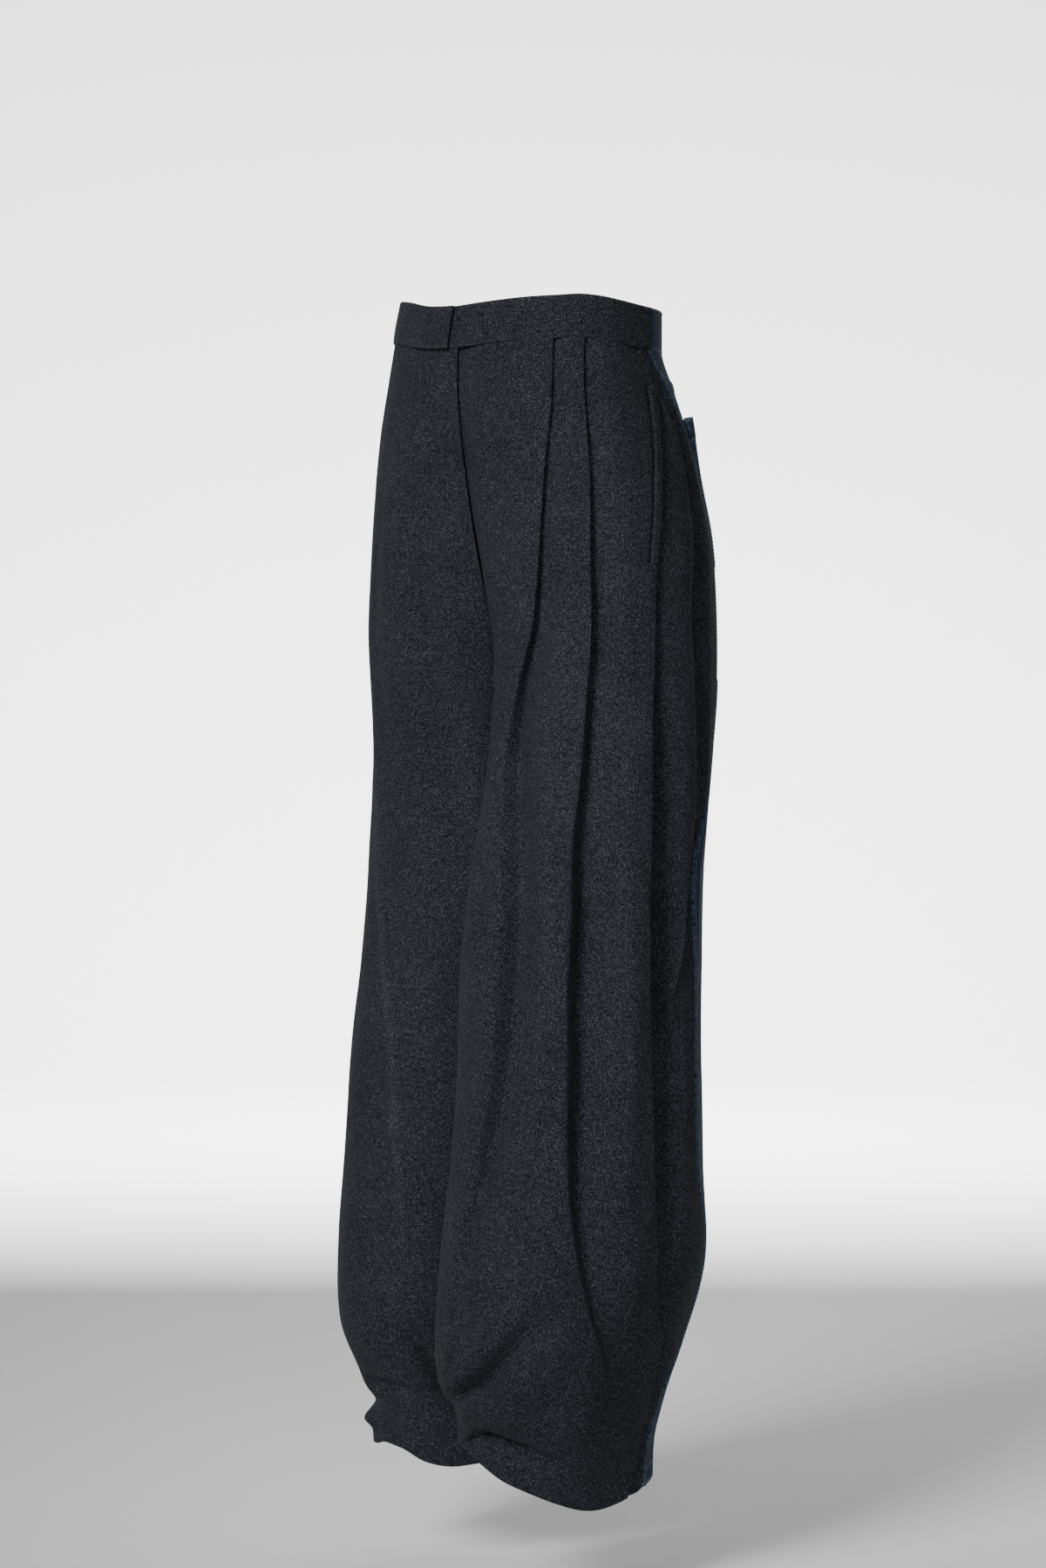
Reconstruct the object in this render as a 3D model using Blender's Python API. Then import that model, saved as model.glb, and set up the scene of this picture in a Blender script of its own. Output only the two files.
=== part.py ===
"""Wide pleated jeans with wool fronts and denim backs, standing open and hollow as they are worn.

Metres, +Z up. The origin is the middle of the waist opening, at the top of the waistband. The wearer faces -Y,
and the wearer's left leg is at +X. Every panel is a range of one closed section round the body or round a leg:
a turn of 0 degrees is the front, 90 the outer side, 180 the back and -90 or 270 the inner side.
"""

import math
from bisect import bisect_right
from collections import namedtuple

import bmesh
import bpy
from mathutils import Vector

# ---------------------------------------------------------------- driving dimensions
SEAM_GAP = 0.0003
HALF_GAP = SEAM_GAP / 2
WOOL_WALL = 0.0014
DENIM_WALL = 0.0014
BAND_WALL = 0.0026
BAND_PROUD = 0.0010
BAND_HEIGHT = 0.040
PATCH_WALL = 0.0012
LAP_LENGTH = 0.026
LAP_RAMP = 0.012
BAND_SIDE_SEAM = 100.0
CROTCH_TOP = -0.285
CROTCH_BOTTOM = -0.345
ANKLE = -0.930
HEM = -1.068
PANEL_TOP = -BAND_HEIGHT - SEAM_GAP
YOKE_SIDE = -0.060
YOKE_MIDDLE = -0.095
YOKE_SIDE_TURN = 106.0
ROWS_ABOVE_YOKE = 2
LEAST_ROW = 0.004
POCKET_TOP = -0.103
POCKET_BOTTOM = -0.243
POCKET_GAPE = 0.008
POCKET_POINT = 0.016
POCKET_EDGE_WIDTH = 0.007
POCKET_EDGE_TOP = -0.076
POCKET_EDGE_BOTTOM = -0.245
SQUARENESS = 2.12
MEAN_RADIUS = 0.108
NORMAL_STEP_TURN = 0.25
NORMAL_STEP_LEVEL = 0.0010
LEFT = 1
RIGHT = -1
SIDE_NAMES = {LEFT: "left", RIGHT: "right"}

# ---------------------------------------------------------------- the two cloths
WOOL_COLOR = (0.030, 0.033, 0.037)
DENIM_COLOR = (0.012, 0.024, 0.045)
WOOL_ROUGHNESS = 0.92
DENIM_ROUGHNESS = 0.85
SHARP_EDGE = 50.0

# ---------------------------------------------------------------- the section of the body and of each leg
# centre_x and half_width place each half's closed section; where it would cross the middle it is cut flat there.
# left_y and right_y are the section's centre for the leg that stands forward and the one that stands back.
Section = namedtuple("Section", "level centre_x half_width front back left_y right_y")
SECTIONS = (
    Section(0.000, 0.000, 0.134, 0.098, 0.098, 0.000, 0.000),
    Section(-0.040, 0.000, 0.138, 0.103, 0.096, -0.003, -0.003),
    Section(-0.070, 0.012, 0.133, 0.106, 0.100, 0.000, 0.000),
    Section(-0.117, 0.034, 0.123, 0.105, 0.109, 0.002, 0.002),
    Section(-0.160, 0.050, 0.116, 0.103, 0.114, 0.003, 0.003),
    Section(-0.205, 0.063, 0.110, 0.101, 0.119, 0.004, 0.004),
    Section(-0.250, 0.074, 0.103, 0.099, 0.119, 0.004, 0.004),
    Section(-0.300, 0.083, 0.097, 0.096, 0.116, 0.004, 0.004),
    Section(-0.345, 0.089, 0.096, 0.097, 0.110, 0.000, 0.012),
    Section(-0.433, 0.097, 0.098, 0.101, 0.104, -0.014, 0.034),
    Section(-0.520, 0.100, 0.100, 0.108, 0.108, -0.031, 0.038),
    Section(-0.610, 0.102, 0.102, 0.115, 0.114, -0.041, 0.037),
    Section(-0.695, 0.104, 0.103, 0.116, 0.114, -0.045, 0.027),
    Section(-0.783, 0.106, 0.105, 0.121, 0.119, -0.050, 0.026),
    Section(-0.868, 0.106, 0.105, 0.129, 0.129, -0.056, 0.023),
    Section(-0.945, 0.100, 0.096, 0.123, 0.123, -0.068, 0.010),
    Section(-1.000, 0.094, 0.086, 0.110, 0.110, -0.070, 0.015),
    Section(-1.036, 0.091, 0.078, 0.098, 0.097, -0.063, 0.012),
    Section(-1.100, 0.091, 0.078, 0.097, 0.096, -0.063, 0.012),
)

# ---------------------------------------------------------------- folds that step down on their outer side
# depth is how far the cloth drops behind the fold's edge, riser how wide the drop is, recover how soon it is level.
FoldRow = namedtuple("FoldRow", "level turn depth riser recover")
INNER_PLEAT_LEFT = (
    FoldRow(-0.040, 46, 0.0032, 0.0016, 0.012),
    FoldRow(-0.090, 39, 0.0036, 0.0025, 0.018),
    FoldRow(-0.147, 28, 0.0045, 0.0035, 0.022),
    FoldRow(-0.208, 18, 0.0055, 0.0045, 0.026),
    FoldRow(-0.261, 10, 0.0065, 0.0055, 0.030),
    FoldRow(-0.305, 2, 0.0080, 0.007, 0.032),
    FoldRow(-0.362, -8, 0.0100, 0.008, 0.034),
    FoldRow(-0.423, -12, 0.0130, 0.010, 0.038),
    FoldRow(-0.518, 0, 0.0170, 0.016, 0.045),
    FoldRow(-0.601, 4, 0.0190, 0.018, 0.050),
    FoldRow(-0.684, 2, 0.0170, 0.016, 0.050),
    FoldRow(-0.768, -5, 0.0120, 0.014, 0.045),
    FoldRow(-0.830, -10, 0.0070, 0.012, 0.040),
    FoldRow(-0.900, -12, 0.0020, 0.010, 0.035),
    FoldRow(-0.960, -12, 0.0000, 0.010, 0.030),
)
OUTER_PLEAT_LEFT = (
    FoldRow(-0.040, 60, 0.0032, 0.0016, 0.016),
    FoldRow(-0.098, 53, 0.0040, 0.0025, 0.024),
    FoldRow(-0.160, 48, 0.0060, 0.0040, 0.030),
    FoldRow(-0.221, 43, 0.0080, 0.0055, 0.035),
    FoldRow(-0.343, 37, 0.0120, 0.009, 0.040),
    FoldRow(-0.403, 36, 0.0140, 0.011, 0.042),
    FoldRow(-0.484, 37, 0.0180, 0.014, 0.045),
    FoldRow(-0.563, 42, 0.0220, 0.018, 0.048),
    FoldRow(-0.682, 43, 0.0220, 0.018, 0.048),
    FoldRow(-0.765, 44, 0.0190, 0.016, 0.045),
    FoldRow(-0.826, 48, 0.0140, 0.014, 0.040),
    FoldRow(-0.890, 58, 0.0080, 0.012, 0.034),
    FoldRow(-0.953, 74, 0.0030, 0.010, 0.030),
    FoldRow(-1.000, 78, 0.0000, 0.010, 0.030),
)
POCKET_EDGE_LEFT = (
    FoldRow(-0.040, 91, 0.0004, 0.0016, 0.010),
    FoldRow(-0.070, 94, 0.0008, 0.0020, 0.014),
    FoldRow(-0.086, 94, 0.0024, 0.0020, 0.018),
    FoldRow(-0.134, 90, 0.0030, 0.0020, 0.026),
    FoldRow(-0.178, 85, 0.0032, 0.0022, 0.030),
    FoldRow(-0.234, 79, 0.0036, 0.0026, 0.034),
    FoldRow(-0.290, 75, 0.0060, 0.0040, 0.038),
    FoldRow(-0.402, 74, 0.0130, 0.009, 0.044),
    FoldRow(-0.518, 80, 0.0190, 0.013, 0.044),
    FoldRow(-0.600, 82, 0.0200, 0.014, 0.042),
    FoldRow(-0.726, 84, 0.0170, 0.013, 0.040),
    FoldRow(-0.809, 86, 0.0120, 0.011, 0.036),
    FoldRow(-0.894, 92, 0.0070, 0.008, 0.030),
    FoldRow(-0.939, 102, 0.0045, 0.005, 0.022),
    FoldRow(-0.978, 106, 0.0036, 0.004, 0.018),
    FoldRow(-1.038, 103, 0.0030, 0.003, 0.016),
    FoldRow(-1.068, 96, 0.0026, 0.003, 0.016),
)
SIDE_FOLD_LEFT = (
    FoldRow(-0.040, 96, 0.0030, 0.0016, 0.008),
    FoldRow(-0.085, 99.5, 0.0042, 0.0025, 0.014),
    FoldRow(-0.117, 103, 0.0050, 0.0032, 0.018),
    FoldRow(-0.156, 104, 0.0062, 0.0040, 0.024),
    FoldRow(-0.222, 103, 0.0095, 0.006, 0.030),
    FoldRow(-0.280, 99, 0.0110, 0.006, 0.034),
    FoldRow(-0.341, 100, 0.0120, 0.006, 0.034),
    FoldRow(-0.403, 104, 0.0120, 0.006, 0.032),
    FoldRow(-0.472, 108, 0.0110, 0.006, 0.026),
    FoldRow(-0.582, 104, 0.0080, 0.008, 0.026),
    FoldRow(-0.640, 100, 0.0040, 0.009, 0.026),
    FoldRow(-0.710, 98, 0.0000, 0.009, 0.024),
    FoldRow(-0.850, 101, 0.0000, 0.006, 0.020),
    FoldRow(-0.939, 110, 0.0000, 0.004, 0.014),
    FoldRow(-0.978, 112, 0.0000, 0.003, 0.010),
    FoldRow(-1.068, 103, 0.0000, 0.003, 0.010),
)
INNER_PLEAT_RIGHT = (
    FoldRow(-0.040, 46, 0.0032, 0.0016, 0.012),
    FoldRow(-0.090, 42, 0.0036, 0.0025, 0.020),
    FoldRow(-0.160, 41, 0.0045, 0.0040, 0.026),
    FoldRow(-0.250, 44, 0.0060, 0.006, 0.034),
    FoldRow(-0.400, 50, 0.0090, 0.010, 0.042),
    FoldRow(-0.560, 54, 0.0110, 0.014, 0.048),
    FoldRow(-0.720, 55, 0.0090, 0.014, 0.048),
    FoldRow(-0.860, 58, 0.0030, 0.012, 0.040),
    FoldRow(-0.940, 58, 0.0000, 0.010, 0.035),
)
OUTER_PLEAT_RIGHT = (
    FoldRow(-0.040, 60, 0.0032, 0.0016, 0.016),
    FoldRow(-0.090, 58, 0.0040, 0.0025, 0.024),
    FoldRow(-0.160, 60, 0.0055, 0.0040, 0.030),
    FoldRow(-0.250, 64, 0.0080, 0.006, 0.036),
    FoldRow(-0.400, 72, 0.0120, 0.010, 0.042),
    FoldRow(-0.560, 80, 0.0160, 0.014, 0.044),
    FoldRow(-0.720, 82, 0.0140, 0.014, 0.044),
    FoldRow(-0.860, 84, 0.0060, 0.012, 0.036),
    FoldRow(-0.960, 86, 0.0000, 0.008, 0.030),
)
POCKET_EDGE_RIGHT = (
    FoldRow(-0.040, 91, 0.0004, 0.0016, 0.010),
    FoldRow(-0.070, 93, 0.0008, 0.0020, 0.014),
    FoldRow(-0.086, 93, 0.0024, 0.0020, 0.018),
    FoldRow(-0.160, 88, 0.0030, 0.0022, 0.030),
    FoldRow(-0.250, 84, 0.0040, 0.0030, 0.036),
    FoldRow(-0.400, 94, 0.0100, 0.008, 0.040),
    FoldRow(-0.560, 102, 0.0150, 0.012, 0.036),
    FoldRow(-0.720, 105, 0.0130, 0.012, 0.034),
    FoldRow(-0.860, 106, 0.0070, 0.008, 0.028),
    FoldRow(-0.960, 106, 0.0036, 0.004, 0.018),
    FoldRow(-1.068, 100, 0.0026, 0.003, 0.016),
)
SIDE_FOLD_RIGHT = (
    FoldRow(-0.040, 96, 0.0030, 0.0016, 0.008),
    FoldRow(-0.090, 99, 0.0040, 0.0025, 0.014),
    FoldRow(-0.160, 103, 0.0060, 0.0050, 0.022),
    FoldRow(-0.250, 107, 0.0085, 0.006, 0.026),
    FoldRow(-0.400, 115, 0.0080, 0.006, 0.026),
    FoldRow(-0.560, 120, 0.0040, 0.007, 0.022),
    FoldRow(-0.700, 119, 0.0000, 0.007, 0.020),
    FoldRow(-0.960, 113, 0.0000, 0.004, 0.014),
    FoldRow(-1.068, 107, 0.0000, 0.003, 0.010),
)
STEP_FOLDS = {
    LEFT: (INNER_PLEAT_LEFT, OUTER_PLEAT_LEFT, POCKET_EDGE_LEFT, SIDE_FOLD_LEFT),
    RIGHT: (INNER_PLEAT_RIGHT, OUTER_PLEAT_RIGHT, POCKET_EDGE_RIGHT, SIDE_FOLD_RIGHT),
}

# ---------------------------------------------------------------- soft troughs, or ridges where the depth is below 0
TroughRow = namedtuple("TroughRow", "level turn depth half_width")
TROUGHS = {
    LEFT: (
        (  # under the seat, slanting to the inner side
            TroughRow(-0.250, 150, 0.0000, 0.020),
            TroughRow(-0.330, 165, 0.0070, 0.022),
            TroughRow(-0.400, 185, 0.0110, 0.024),
            TroughRow(-0.480, 200, 0.0060, 0.026),
            TroughRow(-0.560, 205, 0.0000, 0.026),
        ),
        (  # down the back of the leg
            TroughRow(-0.420, 150, 0.0000, 0.020),
            TroughRow(-0.520, 158, 0.0120, 0.022),
            TroughRow(-0.680, 165, 0.0170, 0.024),
            TroughRow(-0.820, 168, 0.0110, 0.024),
            TroughRow(-0.920, 160, 0.0000, 0.024),
        ),
        (  # the deep crease above the instep, slanting down to the inner side
            TroughRow(-0.885, 42, 0.0000, 0.014),
            TroughRow(-0.932, 27, 0.0060, 0.015),
            TroughRow(-0.979, 0, 0.0080, 0.016),
            TroughRow(-1.004, -18, 0.0060, 0.015),
            TroughRow(-1.035, -32, 0.0000, 0.014),
        ),
    ),
    RIGHT: (
        (  # the middle of the thigh's front, on the inner side of its ridge
            TroughRow(-0.080, -4, 0.0000, 0.014),
            TroughRow(-0.160, -8, 0.0030, 0.016),
            TroughRow(-0.260, -14, 0.0055, 0.018),
            TroughRow(-0.380, -24, 0.0080, 0.020),
            TroughRow(-0.480, -34, 0.0060, 0.020),
            TroughRow(-0.560, -42, 0.0000, 0.020),
        ),
        (  # the outer front of the thigh, a little flat
            TroughRow(-0.110, 50, 0.0000, 0.050),
            TroughRow(-0.200, 50, 0.0030, 0.050),
            TroughRow(-0.300, 50, 0.0050, 0.050),
            TroughRow(-0.360, 50, 0.0050, 0.050),
            TroughRow(-0.440, 50, 0.0000, 0.050),
        ),
        (  # under the seat, slanting to the inner side
            TroughRow(-0.260, 152, 0.0000, 0.020),
            TroughRow(-0.350, 170, 0.0080, 0.022),
            TroughRow(-0.430, 190, 0.0090, 0.024),
            TroughRow(-0.520, 205, 0.0000, 0.026),
        ),
        (  # down the back of the leg
            TroughRow(-0.440, 148, 0.0000, 0.020),
            TroughRow(-0.560, 155, 0.0130, 0.022),
            TroughRow(-0.700, 160, 0.0150, 0.024),
            TroughRow(-0.840, 168, 0.0080, 0.024),
            TroughRow(-0.930, 168, 0.0000, 0.024),
        ),
    ),
}

# ---------------------------------------------------------------- where the wool's side panel meets the denim back
SeamRow = namedtuple("SeamRow", "level left right")
SIDE_SEAM = (
    SeamRow(-0.040, 100, 100),
    SeamRow(-0.070, 107, 105),
    SeamRow(-0.110, 114, 111),
    SeamRow(-0.150, 125, 118),
    SeamRow(-0.220, 130, 125),
    SeamRow(-0.400, 133, 130),
    SeamRow(-0.450, 124, 131),
    SeamRow(-0.500, 117, 132),
    SeamRow(-0.600, 115, 132),
    SeamRow(-0.780, 115, 128),
    SeamRow(-0.860, 130, 126),
    SeamRow(-0.940, 128, 122),
    SeamRow(-0.985, 118, 118),
    SeamRow(-1.068, 110, 112),
)

# ---------------------------------------------------------------- the sides of the back pockets
PocketRow = namedtuple("PocketRow", "level left_outer right_outer inner")
POCKET_SIDES = (
    PocketRow(POCKET_TOP, 121, 119, 177),
    PocketRow(-0.150, 131, 124, 177),
    PocketRow(-0.200, 135, 129, 176),
    PocketRow(POCKET_BOTTOM, 137, 132, 175),
)

# ---------------------------------------------------------------- rise of the waist and drop of the hem
EdgeRow = namedtuple("EdgeRow", "turn left right")
WAIST_RISE = (
    EdgeRow(-5, -0.006, -0.006),
    EdgeRow(13, -0.004, -0.003),
    EdgeRow(30, -0.002, 0.0045),
    EdgeRow(45, -0.001, 0.009),
    EdgeRow(60, 0.000, 0.011),
    EdgeRow(95, -0.007, 0.011),
    EdgeRow(140, -0.006, 0.004),
    EdgeRow(180, 0.000, 0.000),
    EdgeRow(200, 0.000, 0.000),
)
HEM_RISE = (
    EdgeRow(-90, 0.020, 0.004),
    EdgeRow(-60, 0.034, 0.000),
    EdgeRow(-40, 0.037, -0.003),
    EdgeRow(-22, 0.037, 0.001),
    EdgeRow(-6, 0.030, 0.0105),
    EdgeRow(13, 0.015, 0.0145),
    EdgeRow(30, 0.006, 0.010),
    EdgeRow(59, -0.0095, 0.008),
    EdgeRow(72, -0.013, 0.008),
    EdgeRow(87, -0.011, 0.007),
    EdgeRow(97, -0.007, 0.006),
    EdgeRow(112, -0.001, 0.003),
    EdgeRow(130, 0.003, 0.000),
    EdgeRow(180, -0.006, -0.006),
    EdgeRow(230, -0.002, -0.004),
    EdgeRow(270, 0.020, 0.004),
)
WAIST_RISE_END = -0.160

# ---------------------------------------------------------------- how finely each piece is divided
FRONT_COLUMNS = (6, 2, 3, 2, 5, 2)
SIDE_COLUMNS = (3, 2, 4)
BACK_COLUMNS = 13
BAND_RIGHT_COLUMNS = (10, 2, 3)
BAND_LEFT_COLUMNS = (3, 12)
BAND_BACK_COLUMNS = (20,)
PANEL_ROWS = (
    (PANEL_TOP, YOKE_SIDE, ROWS_ABOVE_YOKE),
    (YOKE_SIDE, CROTCH_TOP, 8),
    (CROTCH_TOP, CROTCH_BOTTOM, 6),
    (CROTCH_BOTTOM, ANKLE, 13),
    (ANKLE, HEM, 8),
)
PATCH_COLUMNS = 8
PATCH_ROWS = 7
STRIP_ROWS = 8
STRIP_COLUMNS = 2
BAND_ROWS = 2


# ---------------------------------------------------------------- curves through the tables
def smooth(low, high, value):
    """0 below low, 1 above high and an even S between them."""
    share = min(1.0, max(0.0, (value - low) / (high - low)))
    return share * share * (3 - 2 * share)


def read(places, values, place):
    """A smooth curve through values at rising places, flat past its ends."""
    if place <= places[0]:
        return values[0]
    if place >= places[-1]:
        return values[-1]
    first = bisect_right(places, place) - 1
    last = first + 1
    span = places[last] - places[first]
    share = (place - places[first]) / span
    before = max(first - 1, 0)
    after = min(last + 1, len(places) - 1)
    slope_in = (values[last] - values[before]) / (places[last] - places[before])
    slope_out = (values[after] - values[first]) / (places[after] - places[first])
    square, cube = share**2, share**3
    return (
        values[first] * (2 * cube - 3 * square + 1)
        + slope_in * span * (cube - 2 * square + share)
        + values[last] * (3 * square - 2 * cube)
        + slope_out * span * (cube - square)
    )


TABLE_COLUMNS = {}


def row_at(table, level):
    """A table's other columns at one level, as smooth curves down the garment."""
    if id(table) not in TABLE_COLUMNS:
        TABLE_COLUMNS[id(table)] = [list(column) for column in zip(*table)]
    levels, *others = TABLE_COLUMNS[id(table)]
    depths = [-each for each in levels]
    return [read(depths, values, -level) for values in others]


def edge_at(table, side, turn):
    """An edge's rise at one turn."""
    turns, left, right = zip(*table)
    return read(turns, left if side == LEFT else right, turn)


# ---------------------------------------------------------------- the cloth's outer surface
def power(value):
    """A sine or cosine, eased towards the section's squareness."""
    return math.copysign(abs(value) ** (2 / SQUARENESS), value)


def ring(side, turn, level):
    """The plain section's point, without folds, on the left half's side of the middle."""
    centre_x, half_width, front, back, left_y, right_y = row_at(SECTIONS, level)
    angle = math.radians(turn)
    across, along = power(math.sin(angle)), power(math.cos(angle))
    centre_y = left_y if side == LEFT else right_y
    reach = front if along > 0 else back
    return centre_x + half_width * across, centre_y - reach * along


def sunk(side, turn, level):
    """How far the folds take the cloth in from its plain section."""
    total = 0.0
    for fold in STEP_FOLDS[side]:
        fold_turn, depth, riser, recover = row_at(fold, level)
        past = math.radians(turn - fold_turn) * MEAN_RADIUS + riser / 2
        if 0 < past < riser + recover:
            total += depth * smooth(0, riser, past) * (1 - smooth(riser, riser + recover, past))
    for trough in TROUGHS[side]:
        trough_turn, depth, half_width = row_at(trough, level)
        past = math.radians(turn - trough_turn) * MEAN_RADIUS / half_width
        total += depth * math.exp(-past * past)
    return total


def outside(side, turn, level):
    """The outer surface's point on one half, folded, and lifted or lowered with the waist and the hem."""
    x, y = ring(side, turn, level)
    ahead_x, ahead_y = ring(side, turn + NORMAL_STEP_TURN, level)
    behind_x, behind_y = ring(side, turn - NORMAL_STEP_TURN, level)
    along_x, along_y = ahead_x - behind_x, ahead_y - behind_y
    length = math.hypot(along_x, along_y)
    depth = sunk(side, turn, level)
    x -= depth * along_y / length
    y += depth * along_x / length
    z = level
    z += edge_at(WAIST_RISE, side, turn) * smooth(WAIST_RISE_END, -BAND_HEIGHT, level)
    z += edge_at(HEM_RISE, side, turn) * smooth(ANKLE, HEM, level)
    return Vector((side * max(HALF_GAP, x), y, z))


def skin(side, turn, level, out=0.0):
    """The outer surface's point, moved out along the surface's own direction."""
    point = outside(side, turn, level)
    if not out:
        return point
    along = outside(side, turn + NORMAL_STEP_TURN, level) - outside(side, turn - NORMAL_STEP_TURN, level)
    up = outside(side, turn, level + NORMAL_STEP_LEVEL) - outside(side, turn, level - NORMAL_STEP_LEVEL)
    return point + along.cross(up).normalized() * (side * out)


def gap_turn(distance):
    """The turn that covers a distance along the cloth."""
    return math.degrees(distance / MEAN_RADIUS)


def middle_turn(side, level, at_back):
    """The turn at which the section meets the middle, or the inseam below the crotch."""
    centre_x, half_width = row_at(SECTIONS, level)[:2]
    share = min(1.0, max(0.0, (centre_x - HALF_GAP) / half_width))
    meets = math.degrees(math.asin(share ** (SQUARENESS / 2)))
    closed = min(1.0, max(0.0, (CROTCH_TOP - level) / (CROTCH_TOP - CROTCH_BOTTOM)))
    meets += (90 - meets) * (1 - math.sqrt(1 - closed**2))
    inset = gap_turn(HALF_GAP) * closed
    return 180 + meets - inset if at_back else inset - meets


# ---------------------------------------------------------------- how each panel is divided
def spread(breaks, counts):
    """Turns from one break to the next, each stretch divided evenly."""
    turns = [breaks[0]]
    for start, end, count in zip(breaks, breaks[1:], counts):
        turns += [start + (end - start) * step / count for step in range(1, count + 1)]
    return turns


def panel_levels():
    """The levels of a whole panel's rows, from the waistband's seam to the hem."""
    levels = [PANEL_TOP]
    for start, end, count in PANEL_ROWS:
        levels += [start + (end - start) * step / count for step in range(1, count + 1)]
    return levels


def riser_ends(fold, level):
    """The turns at which a fold's drop starts and ends."""
    fold_turn, _depth, riser, _recover = row_at(fold, level)
    half = gap_turn(riser / 2)
    return [fold_turn - half, fold_turn + half]


def front_turns(side, level):
    """The front's columns, which follow the two pleats and the pocket's edge."""
    breaks = [middle_turn(side, level, at_back=False)]
    for fold in STEP_FOLDS[side][:3]:
        breaks += riser_ends(fold, level)
    breaks[-1] -= gap_turn(HALF_GAP)
    return spread(breaks, FRONT_COLUMNS)


def side_seam_turn(side, level):
    """The turn of the seam between the wool and the denim."""
    left, right = row_at(SIDE_SEAM, level)
    return left if side == LEFT else right


def side_turns(side, level):
    """The side panel's columns, which follow its fold."""
    breaks = [riser_ends(STEP_FOLDS[side][2], level)[1] + gap_turn(HALF_GAP)]
    breaks += riser_ends(STEP_FOLDS[side][3], level)
    breaks += [side_seam_turn(side, level) - gap_turn(HALF_GAP)]
    return spread(breaks, SIDE_COLUMNS)


def back_turns(side, level, columns):
    """The back's columns, from the side seam to the middle or the inseam."""
    start = side_seam_turn(side, level) + gap_turn(HALF_GAP)
    return spread([start, middle_turn(side, level, at_back=True)], [columns])


def yoke_level(turn):
    """The seam under the yoke, which drops from the side to the middle of the back."""
    share = min(1.0, max(0.0, (turn - YOKE_SIDE_TURN) / (180 - YOKE_SIDE_TURN)))
    return YOKE_SIDE + (YOKE_MIDDLE - YOKE_SIDE) * share


# ---------------------------------------------------------------- making the pieces
def material(name, color, roughness):
    """A plain cloth finish."""
    finish = bpy.data.materials.new(name)
    finish.use_nodes = True
    shader = finish.node_tree.nodes["Principled BSDF"]
    shader.inputs["Base Color"].default_value = (*color, 1.0)
    shader.inputs["Roughness"].default_value = roughness
    shader.inputs["Metallic"].default_value = 0.0
    return finish


def wall(name, columns, rows, place, finish, parts):
    """A closed wall of cloth: a grid, extruded, whose points place(column, row, inner) puts where they go."""
    shape = bmesh.new()
    bmesh.ops.create_grid(shape, x_segments=columns, y_segments=rows, size=0.5)
    extruded = bmesh.ops.extrude_face_region(shape, geom=shape.faces[:])
    inner_points = [each for each in extruded["geom"] if isinstance(each, bmesh.types.BMVert)]
    bmesh.ops.translate(shape, verts=inner_points, vec=(0, 0, 1))
    for vertex in shape.verts:
        column = round((vertex.co.x + 0.5) * columns)
        row = round((0.5 - vertex.co.y) * rows)
        vertex.co = place(column, row, vertex.co.z > 0.5)
    bmesh.ops.triangulate(shape, faces=shape.faces[:])
    bmesh.ops.recalc_face_normals(shape, faces=shape.faces[:])
    mesh = bpy.data.meshes.new(name)
    shape.to_mesh(mesh)
    shape.free()
    mesh.shade_smooth()
    mesh.set_sharp_from_angle(angle=math.radians(SHARP_EDGE))
    mesh.materials.append(finish)
    piece = bpy.data.objects.new(name, mesh)
    parts.objects.link(piece)
    return piece


def front_panel(side, finish, parts):
    """A wool front with its two pleats, ending at the pocket's edge."""
    levels = panel_levels()
    turns = [front_turns(side, level) for level in levels]

    def place(column, row, inner):
        return skin(side, turns[row][column], levels[row], -WOOL_WALL if inner else 0.0)

    wall(f"front_{SIDE_NAMES[side]}", sum(FRONT_COLUMNS), len(levels) - 1, place, finish, parts)


def side_panel(side, finish, parts):
    """The wool panel from the pocket's edge round to the denim, with one fold."""
    levels = panel_levels()
    turns = [side_turns(side, level) for level in levels]

    def place(column, row, inner):
        return skin(side, turns[row][column], levels[row], -WOOL_WALL if inner else 0.0)

    wall(f"side_{SIDE_NAMES[side]}", sum(SIDE_COLUMNS), len(levels) - 1, place, finish, parts)


def back_panel(side, finish, parts):
    """A denim back below the yoke."""
    levels = panel_levels()[ROWS_ABOVE_YOKE:]
    seam_turns = back_turns(side, YOKE_SIDE, BACK_COLUMNS)

    def place(column, row, inner):
        seam = yoke_level(seam_turns[column]) - HALF_GAP
        level = min(levels[row], seam - row * LEAST_ROW)
        turn = back_turns(side, level, BACK_COLUMNS)[column]
        return skin(side, turn, level, -DENIM_WALL if inner else 0.0)

    wall(f"back_{SIDE_NAMES[side]}", BACK_COLUMNS, len(levels) - 1, place, finish, parts)


def yoke(side, finish, parts):
    """The shaped strip between the waistband and the back."""
    seam_turns = back_turns(side, YOKE_SIDE, BACK_COLUMNS)

    def place(column, row, inner):
        bottom = yoke_level(seam_turns[column]) + HALF_GAP
        level = PANEL_TOP + (bottom - PANEL_TOP) * row / ROWS_ABOVE_YOKE
        turn = back_turns(side, level, BACK_COLUMNS)[column]
        return skin(side, turn, level, -DENIM_WALL if inner else 0.0)

    wall(f"yoke_{SIDE_NAMES[side]}", BACK_COLUMNS, ROWS_ABOVE_YOKE, place, finish, parts)


def band_point(around, level, out):
    """A waistband point at a signed turn round the whole waist, positive on the wearer's left."""
    side = LEFT if 0 <= around <= 180 else RIGHT
    turn = 360 - around if around > 180 else abs(around)
    angle = math.radians(turn)
    _centre_x, half_width, front, back, centre_y, _right_y = row_at(SECTIONS, level)
    across, along = power(math.sin(angle)), power(math.cos(angle))
    reach = front if along > 0 else back
    point = Vector((side * half_width * across, centre_y - reach * along, 0))
    outward = Vector((side * across / half_width, -along / reach, 0)).normalized()
    point += outward * out
    point.z = level + edge_at(WAIST_RISE, side, turn)
    return point


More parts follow.
